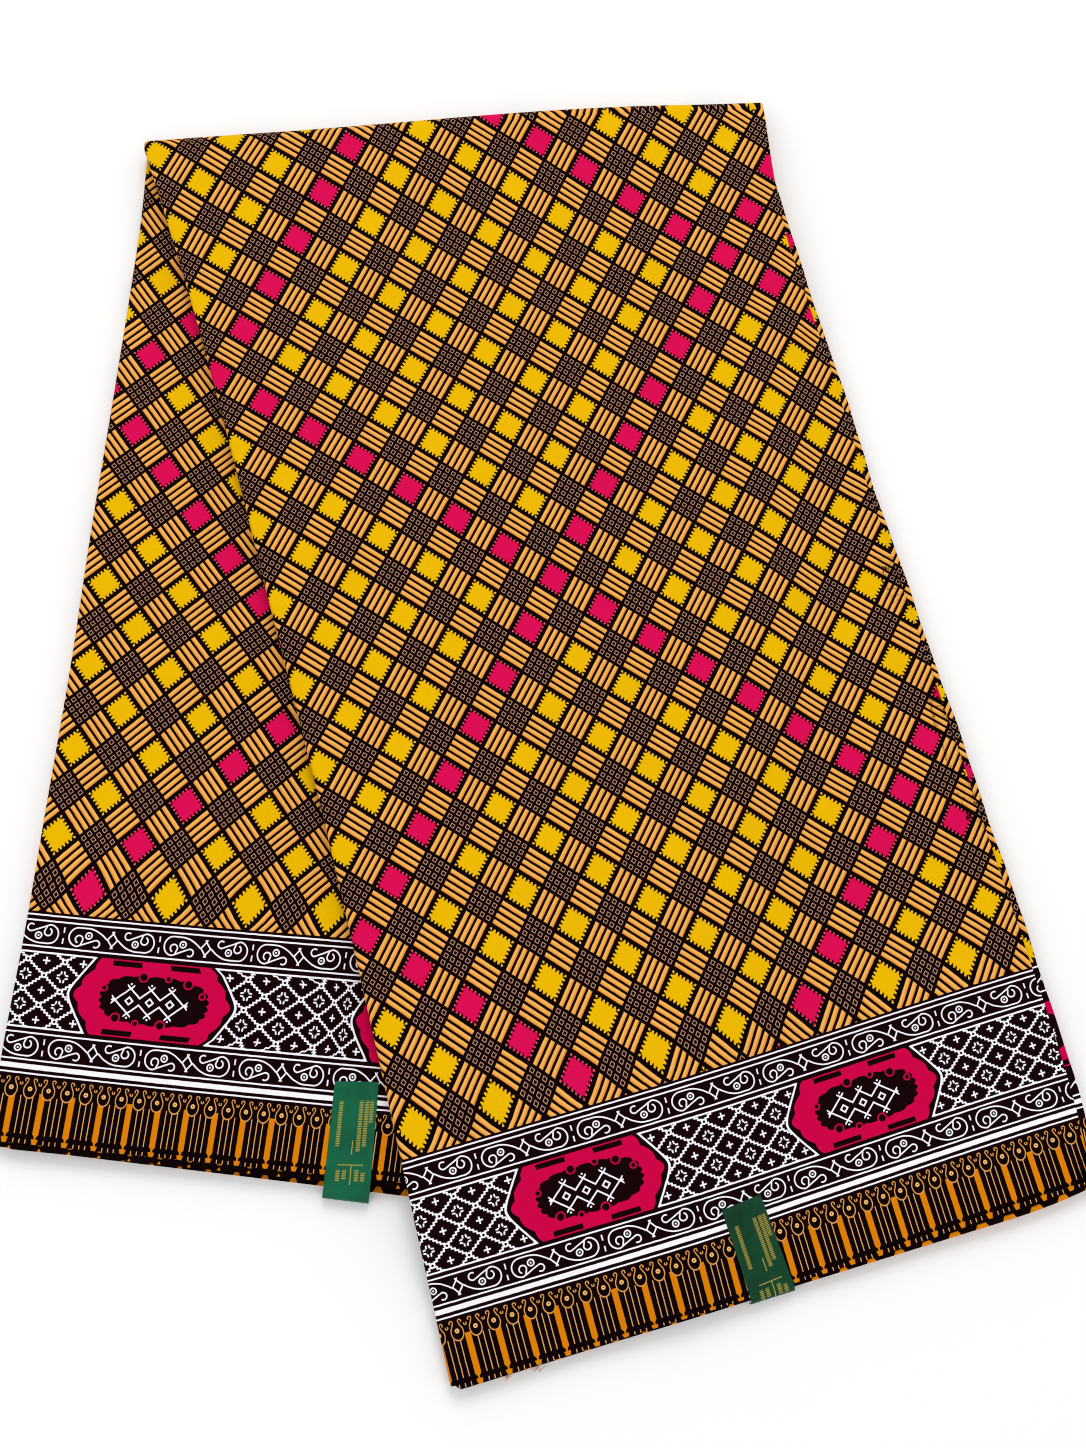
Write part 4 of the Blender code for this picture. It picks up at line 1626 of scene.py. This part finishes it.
@dataclass
class Label:
    """A paper strip that lies near the selvedge and is folded down over it."""

    strip: Strip
    node: str
    half: Half
    top: tuple[Pair, Pair]  # its upper corners, across and down, left and right
    foot: tuple[Pair, Pair]  # where its sides meet the selvedge's bend
    level: float
    finish: bpy.types.Material
    over: float = 0.0  # how far the cloth under it runs past the half's length
    lift: float = 0.00012
    paper: float = 0.00018
    reach: float = 0.0052
    bend: float = 0.0034
    clear: float = 0.0003
    columns: int = 12
    flat_rows: int = 30
    bent_rows: int = 8

    def surface(self, lift: float) -> Surface:
        """One face: a flat stretch, a quarter of an ellipse past the selvedge, and a hanging end.

        Args:
            lift: how far it lies above the cloth.

        Returns:
            The surface, with its place on the label from a top corner.
        """
        share = np.linspace(0, 1, self.columns)[:, None]
        top, foot = (lerp(*np.array(side), share) for side in (self.top, self.foot))
        run = np.linspace(0, 1, self.flat_rows)[:, None]
        reach = (self.half.length + self.over - top[:, 1]) / (foot[:, 1] - top[:, 1])
        x = top[:, 0] + run * reach * (foot[:, 0] - top[:, 0])
        y = top[:, 1] + run * reach * (foot[:, 1] - top[:, 1])
        flat = self.strip.lay(self.half, x, y, np.full_like(x, self.level))
        flat[..., 2] += lift
        edge = flat[-1]
        down = np.append(self.half.axes[1], 0.0)
        turn = (np.arange(1, self.bent_rows + 1) / self.bent_rows * pi / 2)[:, None, None]
        out, drop = self.reach - self.over - self.paper + lift, self.bend + lift
        bent = edge + down * out * np.sin(turn) - np.array([0, 0, 1]) * drop * (1 - np.cos(turn))
        low = bent[-1] * [1, 1, 0] + np.array([0, 0, self.clear])
        hang = lerp(bent[-1], low, np.linspace(0, 1, self.bent_rows + 1)[1:, None, None])
        points = np.concatenate([flat, bent, hang])
        lengths = np.linalg.norm(np.diff(points, axis=0), axis=-1)
        path = np.concatenate([np.zeros((1, self.columns)), np.cumsum(lengths, axis=0)])
        width = np.linalg.norm(np.subtract(*self.top))
        flat_map = np.stack(np.broadcast_arrays(share[:, 0] * width, path), axis=-1)
        return Surface(points, flat_map, flat_map)

    def build(self) -> bpy.types.Object:
        """The piece, in place of its solid."""
        faces = [self.surface(lift) for lift in (self.lift, self.lift + self.paper)]
        bands = [Band.FIELD] * (len(faces[0].points) - 1)
        piece = slab(self.node + "_paper", *faces, bands, [self.finish])
        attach(piece, BODY)
        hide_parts(self.node)
        return piece


@dataclass
class LooseThreads:
    """A few pulled threads at the front selvedge, left of the label."""

    strip: Strip
    finish: bpy.types.Material
    radius: float = 0.00013
    sides: int = 6
    taper: Pair = (6.0, 0.05)  # its rise from an end, and its start there
    seed: int = 11
    starts: tuple[float, ...] = (0.0160, 0.0168, 0.0174, 0.0285, 0.0298, 0.0310)
    runs: Pair = (0.0015, 0.0060)  # the shortest and the longest
    sags: Pair = (0.0010, 0.0045)
    outs: Pair = (-0.0004, 0.0006)
    foot: float = 0.0033  # how far the selvedge lies past the half's length there
    kinks: Pair = (0.0006, 0.0005)  # across and down
    kink_turns: Pair = (9.0, 13.0)  # from end to end
    stagger: float = 900.0  # how much later the kinks down start, for each metre across
    hump: float = 0.0004
    points: int = 28

    def path(self, start: float, run: float, sag: float, out: float) -> np.ndarray:
        """A thread's line on the floor past the selvedge: a slack arch with small kinks along it.

        Args:
            start: metres across to its first end.
            run: metres from end to end.
            sag: how far its middle lies beyond its ends.
            out: how far its ends lie past the selvedge.

        Returns:
            Points from end to end, in the frame.
        """
        t = np.linspace(0, 1, self.points)
        x = start + run * t + self.kinks[0] * np.sin(t * self.kink_turns[0])
        y = FRONT.length + self.foot + out + sag * np.sin(pi * t)
        y += self.kinks[1] * np.sin(t * self.kink_turns[1] + start * self.stagger)
        flat = np.stack([x, y], axis=-1) @ FRONT.axes + self.strip.origin
        height = self.radius + self.hump * np.sin(pi * t) ** 2
        return np.concatenate([flat, height[:, None]], axis=-1)

    def tube(self, path: np.ndarray) -> tuple[np.ndarray, np.ndarray]:
        """Points and quads of a round tube along a path, which tapers at both ends.

        Args:
            path: points from end to end.

        Returns:
            The tube's points, and its quads as their numbers.
        """
        ahead = np.gradient(path, axis=0)
        ahead /= np.linalg.norm(ahead, axis=1, keepdims=True)
        side = np.cross(ahead, [0.0, 0.0, 1.0])
        side /= np.linalg.norm(side, axis=1, keepdims=True)
        up = np.cross(side, ahead)
        turn = (2 * pi * np.arange(self.sides) / self.sides)[None, :, None]
        t = np.linspace(0, 1, len(path))
        rise, start = self.taper
        radius = self.radius * np.clip(rise * np.minimum(t, 1 - t) + start, 0, 1)[:, None, None]
        points = path[:, None] + radius * (np.cos(turn) * side[:, None] + np.sin(turn) * up[:, None])
        index = np.arange(points.shape[0] * self.sides).reshape(-1, self.sides)
        after = np.roll(index, -1, axis=1)
        quads = np.stack([index[:-1], after[:-1], after[1:], index[1:]], axis=-1)
        return points.reshape(-1, 3), quads.reshape(-1, 4)

    def build(self) -> bpy.types.Object:
        """All the threads as one piece."""
        draw = np.random.default_rng(self.seed)
        points, faces, used = [], [], 0
        for start in self.starts:
            drawn = [draw.uniform(*limits) for limits in (self.runs, self.sags, self.outs)]
            tube_points, tube_faces = self.tube(self.path(start, *drawn))
            ring = np.arange(self.sides)
            faces += (tube_faces + used).tolist()
            faces.append((used + ring[::-1]).tolist())
            faces.append((used + len(tube_points) - self.sides + ring).tolist())
            points.append(tube_points)
            used += len(tube_points)
        mesh = bpy.data.meshes.new("loose_threads")
        mesh.from_pydata(np.concatenate(points).tolist(), [], faces)
        mesh.materials.append(self.finish)
        mesh.shade_smooth()
        piece = placed("loose_threads", mesh)
        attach(piece, BODY)
        return piece


@dataclass
class Studio:
    """A white floor, soft light from all round, and the camera that looks down on the cloth."""

    camera_place: Place = (-0.0518, -0.2194, 0.8836)
    target: Place = (0.0196, -0.0120, 0.0)
    roll: float = radians(13.1)
    focal: float = 1806.0  # in pixels of the picture's height
    picture_height: float = 1448.0
    sensor: float = 36.0
    floor_size: float = 6.0
    floor_gap: float = 0.0002
    paper: Colour = (0.96, 0.96, 0.96, 1.0)
    sky: float = 0.78
    lamp_size: float = 1.8
    lamps: tuple[Lamp, ...] = (("key_light", (0.5, 2.4, 3.0), 44.0), ("fill_light", (-1.3, -1.2, 2.4), 9.0))

    def floor(self) -> None:
        """A plain white sheet of paper, a hair below the cloth."""
        half = self.floor_size / 2
        ends = ((-half, -half), (half, -half), (half, half), (-half, half))
        corners = [(x, y, -self.floor_gap) for x, y in ends]
        mesh = bpy.data.meshes.new("floor")
        mesh.from_pydata(corners, [], [(0, 1, 2, 3)])
        mesh.materials.append(Drawing("white_paper").finished(self.paper, roughness=0.9, specular=0.1))
        floor = placed("floor", mesh)

    def lamp(self, name: str, place: Place, power: float) -> None:
        """A square soft light that faces the cloth.

        Args:
            name: of the light.
            place: where it hangs.
            power: in watts.
        """
        light = bpy.data.lights.new(name, "AREA")
        light.size = self.lamp_size
        light.energy = power
        lamp = placed(name, light)
        lamp.location = place
        lamp.rotation_euler = (-Vector(place)).to_track_quat("-Z", "Y").to_euler()

    def camera(self) -> None:
        """The camera: it looks from its place at the target, and then rolls about its own axis."""
        data = bpy.data.cameras.new("camera")
        data.sensor_width = self.sensor
        data.lens = self.focal / self.picture_height * self.sensor
        camera = placed("camera", data)
        look = (Vector(self.target) - Vector(self.camera_place)).to_track_quat("-Z", "Y").to_matrix()
        roll = Matrix.Rotation(self.roll, 4, "Z")
        camera.matrix_world = Matrix.Translation(self.camera_place) @ look.to_4x4() @ roll
        bpy.context.scene.camera = camera

    def build(self) -> None:
        """Floor, lights, camera and the plain colour transform."""
        self.floor()
        for lamp in self.lamps:
            self.lamp(*lamp)
        world = bpy.data.worlds.new("white_room")
        world.use_nodes = True
        light = world.node_tree.nodes["Background"].inputs
        light["Color"].default_value = (1.0, 1.0, 1.0, 1.0)
        light["Strength"].default_value = self.sky
        bpy.context.scene.world = world
        bpy.context.scene.view_settings.view_transform = "Standard"
        bpy.context.scene.cycles.filter_width = 1.0
        self.camera()


def main() -> None:
    """Builds the pieces in order, and reports each."""
    logging.basicConfig(level=logging.INFO, format="%(name)s: %(message)s")
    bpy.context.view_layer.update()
    strip = Strip()
    Studio().build()
    cotton = PrintedCotton().slots()
    paper = LabelPaper().material()
    # the front label's paper: the same green paper, darker all over as painted shade, as that label lies at
    # the front foot where the light falls off
    shaded_label_paper = LabelPaper(green=dye(0, 66, 38), shade=dye(0, 50, 28)).material()
    pieces = [
        OuterSheet(strip, cotton), InnerSheet(strip, cotton), HiddenLayers(strip, cotton),
        Label(strip, "front_label", FRONT, top=((0.1337, 0.6013), (0.1541, 0.5996)),
              foot=((0.1360, 0.6473), (0.1577, 0.6457)), level=strip.half_thick, finish=shaded_label_paper,
              over=0.0022),
        Label(strip, "back_label", BACK, top=((0.1682, 0.4655), (0.1888, 0.4634)),
              foot=((0.1701, 0.5195), (0.1919, 0.5182)), level=strip.gap / 2, finish=paper),
        LooseThreads(strip, LooseCotton().material()),
    ]
    for piece in pieces:
        made = piece.build()
        log.info("%s: %d faces", made.name, len(made.data.polygons))


if __name__ == "__main__":
    main()
